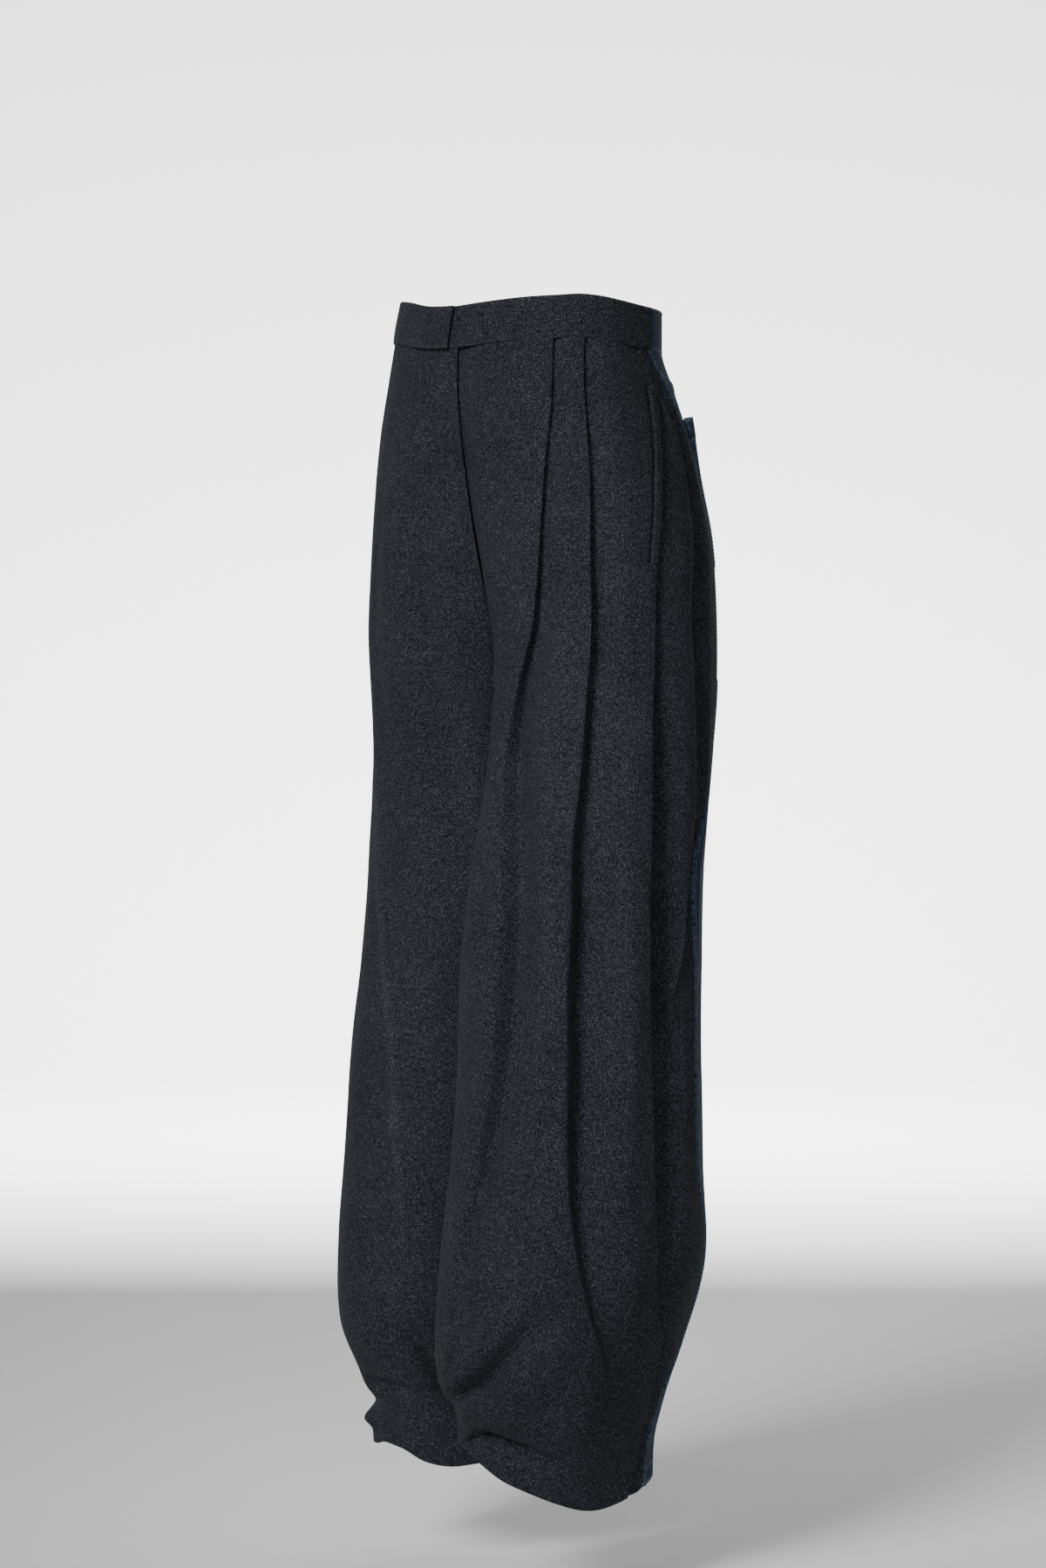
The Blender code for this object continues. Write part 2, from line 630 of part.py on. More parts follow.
def band_piece(name, breaks, counts, lift, finish, parts):
    """A stretch of the waistband; lift(around) raises it over what it laps."""
    arounds = spread(breaks, counts)

    def place(column, row, inner):
        around = arounds[column]
        out = BAND_PROUD + lift(around) - (BAND_WALL if inner else 0.0)
        return band_point(around, -BAND_HEIGHT * row / BAND_ROWS, out)

    wall(name, sum(counts), BAND_ROWS, place, finish, parts)


def waistband(wool, denim, parts):
    """The waistband's two wool fronts, the right one over the left one, and its denim back."""
    radius = row_at(SECTIONS, 0.0)[1]
    lap_turn = math.degrees(LAP_LENGTH / radius)
    ramp_turn = math.degrees(LAP_RAMP / radius)
    edge = BAND_SIDE_SEAM
    gap = gap_turn(HALF_GAP)
    rise = BAND_WALL + SEAM_GAP
    ramp_end = -lap_turn - gap
    ramp_start = ramp_end - ramp_turn

    def lapped(around):
        return rise * smooth(ramp_start, ramp_end, around)

    def level_with_panels(_around):
        return 0.0

    right_breaks = (gap - edge, ramp_start, ramp_end, 0.0)
    left_breaks = (-lap_turn, 0.0, edge - gap)
    back_breaks = (edge + gap, 360 - edge - gap)
    band_piece("waistband_front_right", right_breaks, BAND_RIGHT_COLUMNS, lapped, wool, parts)
    band_piece("waistband_front_left", left_breaks, BAND_LEFT_COLUMNS, level_with_panels, wool, parts)
    band_piece("waistband_back", back_breaks, BAND_BACK_COLUMNS, level_with_panels, denim, parts)


def pocket_edge(side, finish, parts):
    """The stitched edge of a side pocket, lying on the front along its opening."""
    fold = STEP_FOLDS[side][2]

    def place(column, row, inner):
        level = POCKET_EDGE_TOP + (POCKET_EDGE_BOTTOM - POCKET_EDGE_TOP) * row / STRIP_ROWS
        end = riser_ends(fold, level)[0]
        turn = end - gap_turn(POCKET_EDGE_WIDTH) * (1 - column / STRIP_COLUMNS)
        return skin(side, turn, level, SEAM_GAP if inner else SEAM_GAP + PATCH_WALL)

    wall(f"pocket_edge_{SIDE_NAMES[side]}", STRIP_COLUMNS, STRIP_ROWS, place, finish, parts)


def back_pocket(side, finish, parts):
    """A patch pocket on the back, pointed at its foot, whose top edge stands off."""

    def place(column, row, inner):
        across = column / PATCH_COLUMNS
        down = row / PATCH_ROWS
        point = POCKET_POINT * (1 - abs(2 * across - 1))
        level = POCKET_TOP + (POCKET_BOTTOM - POCKET_TOP - point) * down
        left_outer, right_outer, inner_edge = row_at(POCKET_SIDES, level)
        outer_edge = left_outer if side == LEFT else right_outer
        turn = outer_edge + (inner_edge - outer_edge) * across
        gape = POCKET_GAPE * (1 - down) ** 3 * math.sin(math.pi * across)
        return skin(side, turn, level, SEAM_GAP + gape + (0.0 if inner else PATCH_WALL))

    wall(f"back_pocket_{SIDE_NAMES[side]}", PATCH_COLUMNS, PATCH_ROWS, place, finish, parts)


def main():
    """Builds every piece of the garment."""
    for each in list(bpy.data.objects):
        bpy.data.objects.remove(each, do_unlink=True)
    parts = bpy.data.collections.new("pleated_jeans")
    bpy.context.scene.collection.children.link(parts)
    wool = material("charcoal_wool", WOOL_COLOR, WOOL_ROUGHNESS)
    denim = material("indigo_denim", DENIM_COLOR, DENIM_ROUGHNESS)
    for side in (LEFT, RIGHT):
        front_panel(side, wool, parts)
        side_panel(side, wool, parts)
        back_panel(side, denim, parts)
        yoke(side, denim, parts)
        pocket_edge(side, wool, parts)
        back_pocket(side, denim, parts)
    waistband(wool, denim, parts)


main()
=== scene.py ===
"""Wide pleated jeans, worn and hollow: charcoal wool fronts and sides, indigo denim backs.

Every cloth piece is a fine sheet laid on the same closed sections as the plain solids, with the pleats,
creases, seams, turned hems and topstitching that the solids leave out. Metres, +Z up, the origin in the
middle of the waist. A turn of 0 degrees is a leg's front, 90 its outer side, 180 its back and -90 or 270 its
inner side. The tables of the worn form are in millimetres and degrees.
"""

import logging
import math
from dataclasses import dataclass
from enum import Enum
from typing import NamedTuple, Sequence

import bmesh
import bpy
import numpy as np
from mathutils import Matrix, Vector


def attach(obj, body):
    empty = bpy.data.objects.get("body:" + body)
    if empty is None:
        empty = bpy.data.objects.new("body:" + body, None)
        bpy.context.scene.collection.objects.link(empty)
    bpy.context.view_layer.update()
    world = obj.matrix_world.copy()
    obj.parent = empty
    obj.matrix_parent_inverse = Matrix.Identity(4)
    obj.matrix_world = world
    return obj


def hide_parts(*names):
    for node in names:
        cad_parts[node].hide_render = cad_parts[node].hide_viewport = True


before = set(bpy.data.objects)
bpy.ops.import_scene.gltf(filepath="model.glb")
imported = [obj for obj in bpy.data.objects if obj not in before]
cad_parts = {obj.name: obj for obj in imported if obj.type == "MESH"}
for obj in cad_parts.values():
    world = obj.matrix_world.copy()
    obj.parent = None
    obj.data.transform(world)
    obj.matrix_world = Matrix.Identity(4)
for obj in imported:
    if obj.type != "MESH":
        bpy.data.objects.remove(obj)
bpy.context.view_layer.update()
LOG = logging.getLogger("pleated_jeans")
Array = np.ndarray
Colour = tuple[float, float, float, float]
Piece = bpy.types.Object
Socket = bpy.types.NodeSocket

# ---------------------------------------------------------------- driving dimensions
SEAM_GAP = 0.0002
HALF_GAP = -0.0002  # below 0: the cloth of a seam laps a hair, so no light comes through
CLOTH_WALL = 0.0014
BAND_WALL = 0.0026
BAND_PROUD = 0.0010
BAND_HEIGHT = 0.040
PATCH_WALL = 0.0012
LAP_LENGTH = 0.026
LAP_RAMP = 0.045
BAND_SIDE_SEAM = 100.0
CROTCH_TOP = -0.285
CROTCH_BOTTOM = -0.345
ANKLE = -0.930
HEM = -1.068
PANEL_TOP = -BAND_HEIGHT + 0.0015  # the panels end behind the waistband
STITCH_TOP = -BAND_HEIGHT - 0.0017
YOKE_SIDE = -0.060
YOKE_MIDDLE = -0.095
YOKE_SIDE_TURN = 106.0
BAND_ROW_INSET = 0.0022
BAND_ROW_CLEAR = 1.2
BAND_ROW_STEPS = 200
BAND_ROW_OUT = 0.0001
POCKET_EDGE_WIDTH = 0.007
POCKET_EDGE_TOP = -0.076
POCKET_EDGE_BOTTOM = -0.245
SQUARENESS = 2.12
MEAN_RADIUS = 0.108


class Side(Enum):
    """One half of the garment, and the sign of its X."""

    LEFT = 1
    RIGHT = -1

    @property
    def word(self) -> str:
        """The side's name inside a piece's name."""
        return self.name.lower()

    def pick(self, left: object, right: object) -> object:
        """The one of two values that is this side's."""
        return left if self is Side.LEFT else right


class Hold(Enum):
    """How a sheet of cloth is held."""

    HUNG = "hung"
    FOLDED = "folded"
    LAID = "laid"


class Slot(Enum):
    """The record's material slots."""

    WOOL = "charcoal_wool"
    DENIM = "indigo_denim"


# ---------------------------------------------------------------- the worn form, in millimetres and degrees
# closed sections: level, centre X, half width, reach to the front and the back, centre Y left and right
SECTIONS = (
    (0, 0, 134, 98, 98, 0, 0), (-40, 0, 138, 103, 96, -3, -3), (-70, 12, 133, 106, 100, 0, 0),
    (-117, 34, 123, 105, 109, 2, 2), (-160, 50, 116, 103, 114, 3, 3), (-205, 63, 110, 101, 119, 4, 4),
    (-250, 74, 103, 99, 119, 4, 4), (-300, 83, 97, 96, 116, 4, 4), (-345, 89, 96, 97, 110, 0, 12),
    (-433, 97, 98, 101, 104, -14, 34), (-520, 100, 100, 108, 108, -31, 38),
    (-610, 102, 102, 115, 114, -41, 37), (-695, 104, 103, 116, 114, -45, 27),
    (-783, 106, 105, 121, 119, -50, 26), (-868, 106, 105, 129, 129, -56, 23),
    (-945, 100, 96, 123, 123, -68, 10), (-1000, 94, 86, 110, 110, -70, 15),
    (-1036, 91, 78, 98, 97, -63, 12), (-1100, 91, 78, 97, 96, -63, 12),
)
# folds: level, turn of the edge, how far the cloth drops behind it, width of the drop and of the recovery
FOLDS = {
    Side.LEFT: (
        (  # the inner pleat
            (-40, 46, 3.2, 1.6, 12), (-90, 39, 3.6, 2.5, 18), (-147, 28, 4.5, 3.5, 22),
            (-208, 18, 5.5, 4.5, 26), (-261, 10, 6.5, 5.5, 30), (-305, 2, 8, 7, 32), (-362, -8, 10, 8, 34),
            (-423, -12, 13, 10, 38), (-518, 0, 17, 16, 45), (-601, 4, 19, 18, 50), (-684, 2, 17, 16, 50),
            (-768, -5, 12, 14, 45), (-830, -10, 7, 12, 40), (-900, -12, 2, 10, 35), (-960, -12, 0, 10, 30),
        ),
        (  # the outer pleat
            (-40, 60, 3.2, 1.6, 16), (-98, 53, 4, 2.5, 24), (-160, 48, 6, 4, 30), (-221, 43, 8, 5.5, 35),
            (-343, 37, 12, 9, 40), (-403, 36, 14, 11, 42), (-484, 37, 18, 14, 45), (-563, 42, 22, 18, 48),
            (-682, 43, 22, 18, 48), (-765, 44, 19, 16, 45), (-826, 48, 14, 14, 40), (-890, 58, 8, 12, 34),
            (-953, 74, 3, 10, 30), (-1000, 78, 0, 10, 30),
        ),
        (  # the pocket's edge
            (-40, 91, 0.4, 1.6, 10), (-70, 94, 0.8, 2, 14), (-86, 94, 3.4, 2, 16), (-134, 90, 4.2, 2, 22),
            (-178, 85, 4.4, 2.2, 26), (-234, 79, 4.6, 2.6, 32), (-290, 75, 6, 4, 38), (-402, 74, 13, 9, 44),
            (-518, 80, 19, 13, 44), (-600, 82, 20, 14, 42), (-726, 84, 17, 13, 40), (-809, 86, 12, 11, 36),
            (-894, 92, 7, 8, 30), (-939, 102, 4.5, 5, 22), (-978, 106, 3.6, 4, 18), (-1038, 103, 3, 3, 16),
            (-1068, 96, 2.6, 3, 16),
        ),
        (  # the fold behind the pocket
            (-40, 96, 4.2, 1.6, 10), (-85, 99.5, 6, 2.5, 16), (-117, 103, 7.2, 3.2, 20),
            (-156, 104, 8.2, 4, 26), (-222, 103, 9.5, 6, 30), (-280, 99, 11, 6, 34), (-341, 100, 12, 6, 34),
            (-403, 104, 12, 6, 32), (-472, 108, 11, 6, 26), (-582, 104, 8, 8, 26), (-640, 100, 4, 9, 26),
            (-710, 98, 0, 9, 24), (-850, 101, 0, 6, 20), (-939, 110, 0, 4, 14), (-978, 112, 0, 3, 10),
            (-1068, 103, 0, 3, 10),
        ),
    ),
    Side.RIGHT: (
        (  # the inner pleat
            (-40, 46, 3.2, 1.6, 12), (-90, 42, 3.6, 2.5, 20), (-160, 41, 4.5, 4, 26), (-250, 44, 6, 6, 34),
            (-400, 50, 9, 10, 42), (-560, 54, 11, 14, 48), (-720, 55, 9, 14, 48), (-860, 58, 3, 12, 40),
            (-940, 58, 0, 10, 35),
        ),
        (  # the outer pleat
            (-40, 60, 3.2, 1.6, 16), (-90, 58, 4, 2.5, 24), (-160, 60, 5.5, 4, 30), (-250, 64, 8, 6, 36),
            (-400, 72, 12, 10, 42), (-560, 80, 16, 14, 44), (-720, 82, 14, 14, 44), (-860, 84, 6, 12, 36),
            (-960, 86, 0, 8, 30),
        ),
        (  # the pocket's edge
            (-40, 91, 0.4, 1.6, 10), (-70, 93, 0.8, 2, 14), (-86, 93, 2.4, 2, 18), (-160, 88, 3, 2.2, 30),
            (-250, 84, 4, 3, 36), (-400, 94, 10, 8, 40), (-560, 102, 15, 12, 36), (-720, 105, 13, 12, 34),
            (-860, 106, 7, 8, 28), (-960, 106, 3.6, 4, 18), (-1068, 100, 2.6, 3, 16),
        ),
        (  # the fold behind the pocket
            (-40, 96, 3, 1.6, 8), (-90, 99, 4, 2.5, 14), (-160, 103, 6, 5, 22), (-250, 107, 8.5, 6, 26),
            (-400, 115, 8, 6, 26), (-560, 120, 4, 7, 22), (-700, 119, 0, 7, 20), (-960, 113, 0, 4, 14),
            (-1068, 107, 0, 3, 10),
        ),
    ),
}
# soft troughs: level, turn, depth, half width
TROUGHS = {
    Side.LEFT: (
        (  # under the seat, slanting to the inner side
            (-250, 150, 0, 20), (-330, 165, 7, 22), (-400, 185, 11, 24), (-480, 200, 6, 26),
            (-560, 205, 0, 26),
        ),
        (  # down the back of the leg
            (-420, 150, 0, 20), (-520, 158, 12, 22), (-680, 165, 17, 24), (-820, 168, 11, 24),
            (-920, 160, 0, 24),
        ),
        (  # the deep crease above the instep, slanting down to the inner side
            (-885, 42, 0, 14), (-932, 27, 6, 15), (-979, 0, 8, 16), (-1004, -18, 3, 15),
            (-1035, -32, 0, 14),
        ),
    ),
    Side.RIGHT: (
        (  # the middle of the thigh's front, on the inner side of its ridge
            (-80, -4, 0, 14), (-160, -8, 3, 16), (-260, -14, 5.5, 18), (-380, -24, 8, 20),
            (-480, -34, 6, 20), (-560, -42, 0, 20),
        ),
        (  # the outer front of the thigh, a little flat
            (-110, 50, 0, 50), (-200, 50, 3, 50), (-300, 50, 5, 50), (-360, 50, 5, 50), (-440, 50, 0, 50),
        ),
        (  # under the seat, slanting to the inner side
            (-260, 152, 0, 20), (-350, 170, 8, 22), (-430, 190, 9, 24), (-520, 205, 0, 26),
        ),
        (  # down the back of the leg
            (-440, 148, 0, 20), (-560, 155, 13, 22), (-700, 160, 15, 24), (-840, 168, 8, 24),
            (-930, 168, 0, 24),
        ),
    ),
}
# the seam between wool and denim: level, turn on the left and on the right
SIDE_SEAM = (
    (-40, 100, 100), (-70, 107, 105), (-110, 114, 111), (-150, 125, 118), (-220, 130, 125),
    (-400, 133, 130), (-450, 124, 131), (-500, 117, 132), (-600, 115, 132), (-780, 115, 128),
    (-860, 130, 126), (-940, 128, 122), (-985, 118, 118), (-1068, 110, 112),
)
# the patch pockets' sides: level, outer turn on the left and on the right, inner turn
POCKET_SIDES = (
    (-103, 121, 119, 177), (-150, 131, 124, 177), (-200, 135, 129, 176), (-243, 137, 132, 175),
)
# how far the waist's edge rises: turn, left, right
WAIST_RISE = (
    (-5, -6, -6), (13, -4, -3), (30, -2, 4.5), (45, -1, 9), (60, 0, 11), (95, -7, 11), (140, -6, 4),
    (180, 0, 0), (200, 0, 0),
)
# how far the hem rises: turn, left, right
HEM_RISE = (
    (-90, 20, 4), (-60, 34, 0), (-40, 37, -3), (-22, 37, 1), (-6, 30, 10.5), (13, 15, 14.5), (30, 6, 10),
    (59, -9.5, 8), (72, -13, 8), (87, -11, 7), (97, -7, 6), (112, -1, 3), (130, 3, 0), (180, -6, -6),
    (230, -2, -4), (270, 20, 4),
)
# the crease pressed down a leg's front: level, turn, height
PRESSED_CREASE = {
    Side.LEFT: (
        (-300, -20, 0), (-400, -30, 0), (-700, -34, 0), (-1068, -36, 0),
    ),
    Side.RIGHT: (
        (-300, 30, 0), (-400, 33, 0.6), (-460, 28, 1.4), (-523, 19, 1.8), (-611, 6, 1.8), (-698, -6, 1.6),
        (-776, -11, 1.3), (-830, -17, 0.9), (-920, -21, 0), (-1068, -22, 0),
    ),
}
# creases, along points: turn, level, depth of the cloth, or a ridge below 0, and its reach to either side
CREASES = {
    Side.LEFT: (
        # the near leg's front: the ridge beside the fly and the valley on its inner side
        (
            (-12, -300, 0, 12, 16), (-24, -380, -2.5, 12, 18), (-26, -460, -4, 13, 18),
            (-22, -540, -3, 14, 20), (-24, -640, 0, 14, 20),
        ),
        # a second soft ridge between the pleats
        (
            (33, -200, 0, 12, 10), (22, -320, -2, 12, 12), (16, -430, -2.8, 13, 14), (21, -560, -2, 16, 16),
            (24, -700, 0, 16, 16),
        ),
        # long soft waves between the outer pleat and the pocket
        (
            (70, -180, 0, 10, 10), (62, -300, 2, 12, 12), (58, -420, 3, 14, 12), (62, -560, 2.2, 14, 14),
            (66, -700, 0, 14, 14),
        ),
        ((70, -560, 0, 12, 12), (72, -660, -2, 12, 14), (70, -760, -2.6, 13, 14), (66, -860, 0, 14, 14)),
        # the near leg's shin: two low waves
        ((20, -620, 0, 16, 18), (22, -720, 2.2, 16, 18), (20, -820, 2.6, 16, 18), (14, -900, 0, 16, 16)),
        # above the near instep: the deep slanting valley between the legs, crisp on its upper side
        (
            (42, -895, 0, 10, 18), (31, -922, 5, 10, 18), (18, -948, 9.5, 10, 18), (4, -974, 11.5, 9, 17),
            (-8, -992, 10, 8, 15), (-20, -1008, 2.5, 7, 12), (-30, -1024, 0, 6, 10),
        ),
        ((-2, -905, 0, 6, 8), (-6, -935, 2, 6, 8), (-14, -965, 2.6, 6, 8), (-22, -990, 0, 6, 8)),
        # the near ankle's outer side: slanting drag lines down from the shin
        ((58, -930, 0, 12, 12), (54, -965, 2, 12, 12), (44, -998, 2.4, 12, 12), (36, -1022, 0, 10, 10)),
        ((82, -930, 0, 10, 12), (80, -975, 1.8, 10, 12), (74, -1015, 2.2, 10, 12), (70, -1045, 0, 10, 10)),
        # the seat and the backs of the knees
        (
            (196, -300, 0, 8, 12), (184, -318, 3, 8, 12), (168, -326, 3.6, 8, 14), (152, -318, 1.8, 8, 14),
            (142, -306, 0, 8, 12),
        ),
        (
            (140, -600, 0, 12, 14), (156, -618, 3.2, 12, 16), (178, -622, 4, 12, 16),
            (198, -606, 2.4, 12, 16), (214, -590, 0, 12, 14),
        ),
        (
            (190, -480, 0, 12, 12), (176, -540, -4, 14, 14), (180, -640, -6, 16, 16),
            (184, -760, -5, 16, 16), (182, -880, 0, 16, 16),
        ),
        # the backs of the ankles, where the full leg narrows to the hem
        (
            (140, -930, 0, 10, 12), (150, -960, 4, 10, 12), (164, -986, 4.8, 10, 12),
            (182, -1004, 3, 10, 12), (196, -1014, 0, 10, 10),
        ),
        (
            (232, -900, 0, 12, 12), (226, -950, 3.4, 12, 12), (214, -990, 4.2, 12, 10),
            (206, -1024, 0, 10, 10),
        ),
        # drag lines from the crotch, front and back
        ((-58, -330, 0, 6, 8), (-46, -352, 2.4, 6, 10), (-36, -384, 2, 8, 10), (-30, -420, 0, 8, 10)),
        # small gathers under the back of the waistband and beside the pockets
        ((150, -44, 0, 6, 6), (151, -62, 0.9, 6, 6), (152, -86, 0, 6, 6)),
    ),
    Side.RIGHT: (
        # the far leg: a ridge on its front, with a valley on either side
        (
            (6, -70, 0, 10, 12), (5, -130, -1.6, 10, 12), (2, -220, -2.4, 12, 14), (-5, -320, -3.4, 12, 14),
            (-12, -420, -4, 14, 16), (-17, -500, -2, 14, 16), (-18, -580, 0, 14, 16),
        ),
        (
            (26, -110, 0, 10, 10), (25, -200, 1.8, 11, 11), (22, -300, 2.6, 12, 12),
            (16, -400, 2.2, 14, 14), (10, -480, 0, 14, 14),
        ),
        ((16, -60, 0, 7, 7), (15, -110, -0.9, 7, 7), (14, -170, -0.8, 7, 7), (14, -220, 0, 7, 7)),
        ((-30, -500, 0, 14, 14), (-34, -600, 2.8, 14, 16), (-38, -720, 3.2, 14, 16), (-36, -850, 0, 14, 16)),
        # the pinch at the foot of the fly
        ((-10, -184, 0, 4, 5), (-16, -197, 1.4, 4, 6), (-24, -206, 1, 4, 6), (-32, -214, 0, 4, 5)),
        ((-17, -204, 0, 5, 6), (-18, -228, 1.2, 5, 7), (-14, -262, 0.8, 6, 8), (-10, -300, 0, 6, 8)),
        # the far ankle: a level crease, a sharp one towards the inner side, and the pinch above the hem
        (
            (26, -1000, 0, 6, 10), (14, -1006, 6, 5, 12), (0, -1007, 8, 5, 13), (-14, -1005, 6, 5, 12),
            (-26, -1014, 0, 5, 10),
        ),
        (
            (-15, -918, 0, 8, 4), (-23, -942, 7, 8, 4), (-30, -966, 12.5, 9, 4), (-35, -990, 12, 10, 4),
            (-41, -1014, 0, 10, 5),
        ),
        (
            (72, -1014, 0, 10, 10), (56, -1022, 5, 9, 9), (42, -1025, 6, 9, 9), (26, -1029, 3.5, 9, 9),
            (10, -1036, 0, 9, 9),
        ),
        (
            (70, -1042, 0, 9, 9), (56, -1046, -6.5, 9, 9), (44, -1047, -8.5, 9, 9), (32, -1049, -5, 9, 9),
            (20, -1052, 0, 9, 9),
        ),
        ((50, -1058, 0, 5, 5), (38, -1055, 2.2, 5, 5), (26, -1057, 2.4, 5, 5), (12, -1062, 0, 5, 5)),
        # the seat and the backs of the knees
        ((198, -306, 0, 8, 12), (182, -330, 2.6, 8, 12), (166, -342, 3.4, 8, 14), (150, -336, 0, 8, 12)),
        ((136, -640, 0, 12, 14), (152, -652, 3.6, 12, 16), (176, -648, 3.4, 12, 16), (196, -630, 0, 12, 14)),
        (
            (182, -460, 0, 12, 12), (174, -560, -5, 16, 14), (178, -700, -6.4, 16, 16),
            (184, -820, -3, 16, 16), (186, -920, 0, 16, 16),
        ),
        # the backs of the ankles, where the full leg narrows to the hem
        (
            (134, -920, 0, 10, 12), (146, -958, 4.4, 10, 12), (160, -990, 4.6, 10, 12),
            (176, -1020, 0, 10, 10),
        ),
        (
            (222, -900, 0, 12, 12), (212, -944, 3.6, 12, 12), (202, -984, 4.8, 12, 10),
            (188, -1008, 2, 10, 10), (178, -1016, 0, 10, 10),
        ),
        # drag lines from the crotch, front and back
        ((-60, -320, 0, 6, 8), (-48, -338, 2.2, 6, 10), (-36, -372, 2.4, 8, 10), (-28, -416, 0, 8, 10)),
        # small gathers under the back of the waistband and beside the pockets
        ((142, -44, 0, 6, 6), (143, -60, 1, 6, 6), (145, -82, 0, 6, 6)),
    ),
}
# tucks, along points: turn, level, how far the cloth drops, width of the drop and the recovery, overhang
TUCKS = {
    Side.LEFT: (
        (  # the near instep: the full cloth laps over the hem in an arc that falls to the outer side
            (78, -1046, 0, 6, 12, 0), (60, -1035, 1.6, 6, 16, 0), (45, -1029, 3.4, 5, 20, 0.6),
            (30, -1026, 6, 3, 22, 1.8), (20, -1025, 8.5, 2.5, 22, 3), (10, -1026, 9.5, 2.5, 20, 3.6),
            (0, -1036, 9, 2.5, 18, 3.6), (-8, -1046, 7, 2.5, 14, 3), (-14, -1056, 4.5, 3, 10, 1.6),
            (-20, -1062, 2, 3, 8, 0.8),
        ),
    ),
    Side.RIGHT: (),
}
WAIST_HALF_WIDTH = SECTIONS[0][2] / 1000
POCKET_TOP, POCKET_BOTTOM = POCKET_SIDES[0][0] / 1000, POCKET_SIDES[-1][0] / 1000
INNER_PLEAT, OUTER_PLEAT, POCKET_FOLD, SIDE_FOLD = range(4)  # the places of the folds in their table


# ---------------------------------------------------------------- curves and waves
def metres(rows: Sequence[tuple], *degrees: int) -> Array:
    """Turns a table in millimetres into metres.

    Args:
        rows: The table.
        degrees: The columns of degrees, which stay as they are.

    Returns:
        The table as an array.
    """
    table = np.array(rows, dtype=float)
    table[:, [column for column in range(table.shape[1]) if column not in degrees]] /= 1000
    return table


def turn_of(distance: float | Array) -> float | Array:
    """The turn that covers a distance along the cloth."""
    return np.degrees(distance / MEAN_RADIUS)


def run_of(turn: float | Array) -> float | Array:
    """The distance along the cloth that a turn covers."""
    return np.radians(turn) * MEAN_RADIUS


def smooth(low: float | Array, high: float | Array, value: Array) -> Array:
    """Eases from 0 to 1.

    Args:
        low: Where the result is still 0.
        high: Where it has reached 1.
        value: The places to read.

    Returns:
        0 below low, 1 above high and an even S between them.
    """
    share = np.clip((value - low) / (high - low), 0.0, 1.0)
    return share * share * (3 - 2 * share)


def bell(distance: Array, reach: float | Array) -> Array:
    """1 on a line, easing to 0 beside it."""
    return np.exp(-((distance / reach) ** 2))


def dropped(past: Array, riser: float | Array, recover: float | Array) -> Array:
    """A fold's profile: it drops over its riser and comes back over its recovery."""
    return smooth(0.0, riser, past) * (1 - smooth(riser, riser + recover, past))


def read(places: Array, values: Array, place: Array) -> Array:
    """Reads a smooth curve through values at rising places.

    Args:
        places: The rising places.
        values: The values there.
        place: Where to read.

    Returns:
        The curve, flat past its ends.
    """
    place = np.clip(place, places[0], places[-1])
    first = np.clip(np.searchsorted(places, place, side="right") - 1, 0, len(places) - 2)
    last = first + 1
    span = places[last] - places[first]
    share = (place - places[first]) / span
    before = np.maximum(first - 1, 0)
    after = np.minimum(last + 1, len(places) - 1)
    slope_in = (values[last] - values[before]) / (places[last] - places[before])
    slope_out = (values[after] - values[first]) / (places[after] - places[first])
    square, cube = share**2, share**3
    return (
        values[first] * (2 * cube - 3 * square + 1)
        + slope_in * span * (cube - 2 * square + share)
        + values[last] * (3 * square - 2 * cube)
        + slope_out * span * (cube - square)
    )


def edge_rise(table: Sequence[tuple], side: Side, turn: Array) -> Array:
    """How far one side's edge of the waist or the hem rises at some turns."""
    turns, left, right = metres(table, 0).T
    return read(turns, side.pick(left, right), turn)


class Track:
    """A table whose columns are read as smooth curves down the garment."""

    def __init__(self, rows: Sequence[tuple], *degrees: int) -> None:
        """Keeps the table's columns.

        Args:
            rows: The table in millimetres, its first column the level, from the top down.
            degrees: The columns of degrees.
        """
        table = metres(rows, *degrees)
        self.depths, self.columns = -table[:, 0], table[:, 1:].T

    def at(self, level: Array) -> list[Array]:
        """Reads every other column at some levels."""
        return [read(self.depths, column, -np.asarray(level, dtype=float)) for column in self.columns]


class Unevenness:
    """Low waves that no two parts of the cloth share: values on a lattice round the leg, eased between."""

    REACH = 1.3

    def __init__(self, seed: int, turns: int, cell: float) -> None:
        """Draws the lattice.

        Args:
            seed: The seed of the draw.
            turns: How many cells go round a leg.
            cell: The height of a cell.
        """
        self.turns, self.cell = turns, cell
        rows = int(self.REACH / cell) + 3
        self.values = np.random.default_rng(seed).uniform(-1, 1, (rows, turns))

    def at(self, turn: Array, level: Array) -> Array:
        """Reads the waves.

        Args:
            turn: The turns.
            level: The levels.

        Returns:
            Values from -1 to 1.
        """
        column = (turn + 90) / 360 * self.turns
        row = -level / self.cell + 1
        left, top = np.floor(column).astype(int), np.floor(row).astype(int)
        across, down = smooth(0, 1, column - left), smooth(0, 1, row - top)
        top = np.clip(top, 0, len(self.values) - 2)
        first, second = left % self.turns, (left + 1) % self.turns
        upper = self.values[top, first] * (1 - across) + self.values[top, second] * across
        lower = self.values[top + 1, first] * (1 - across) + self.values[top + 1, second] * across
        return upper * (1 - down) + lower * down


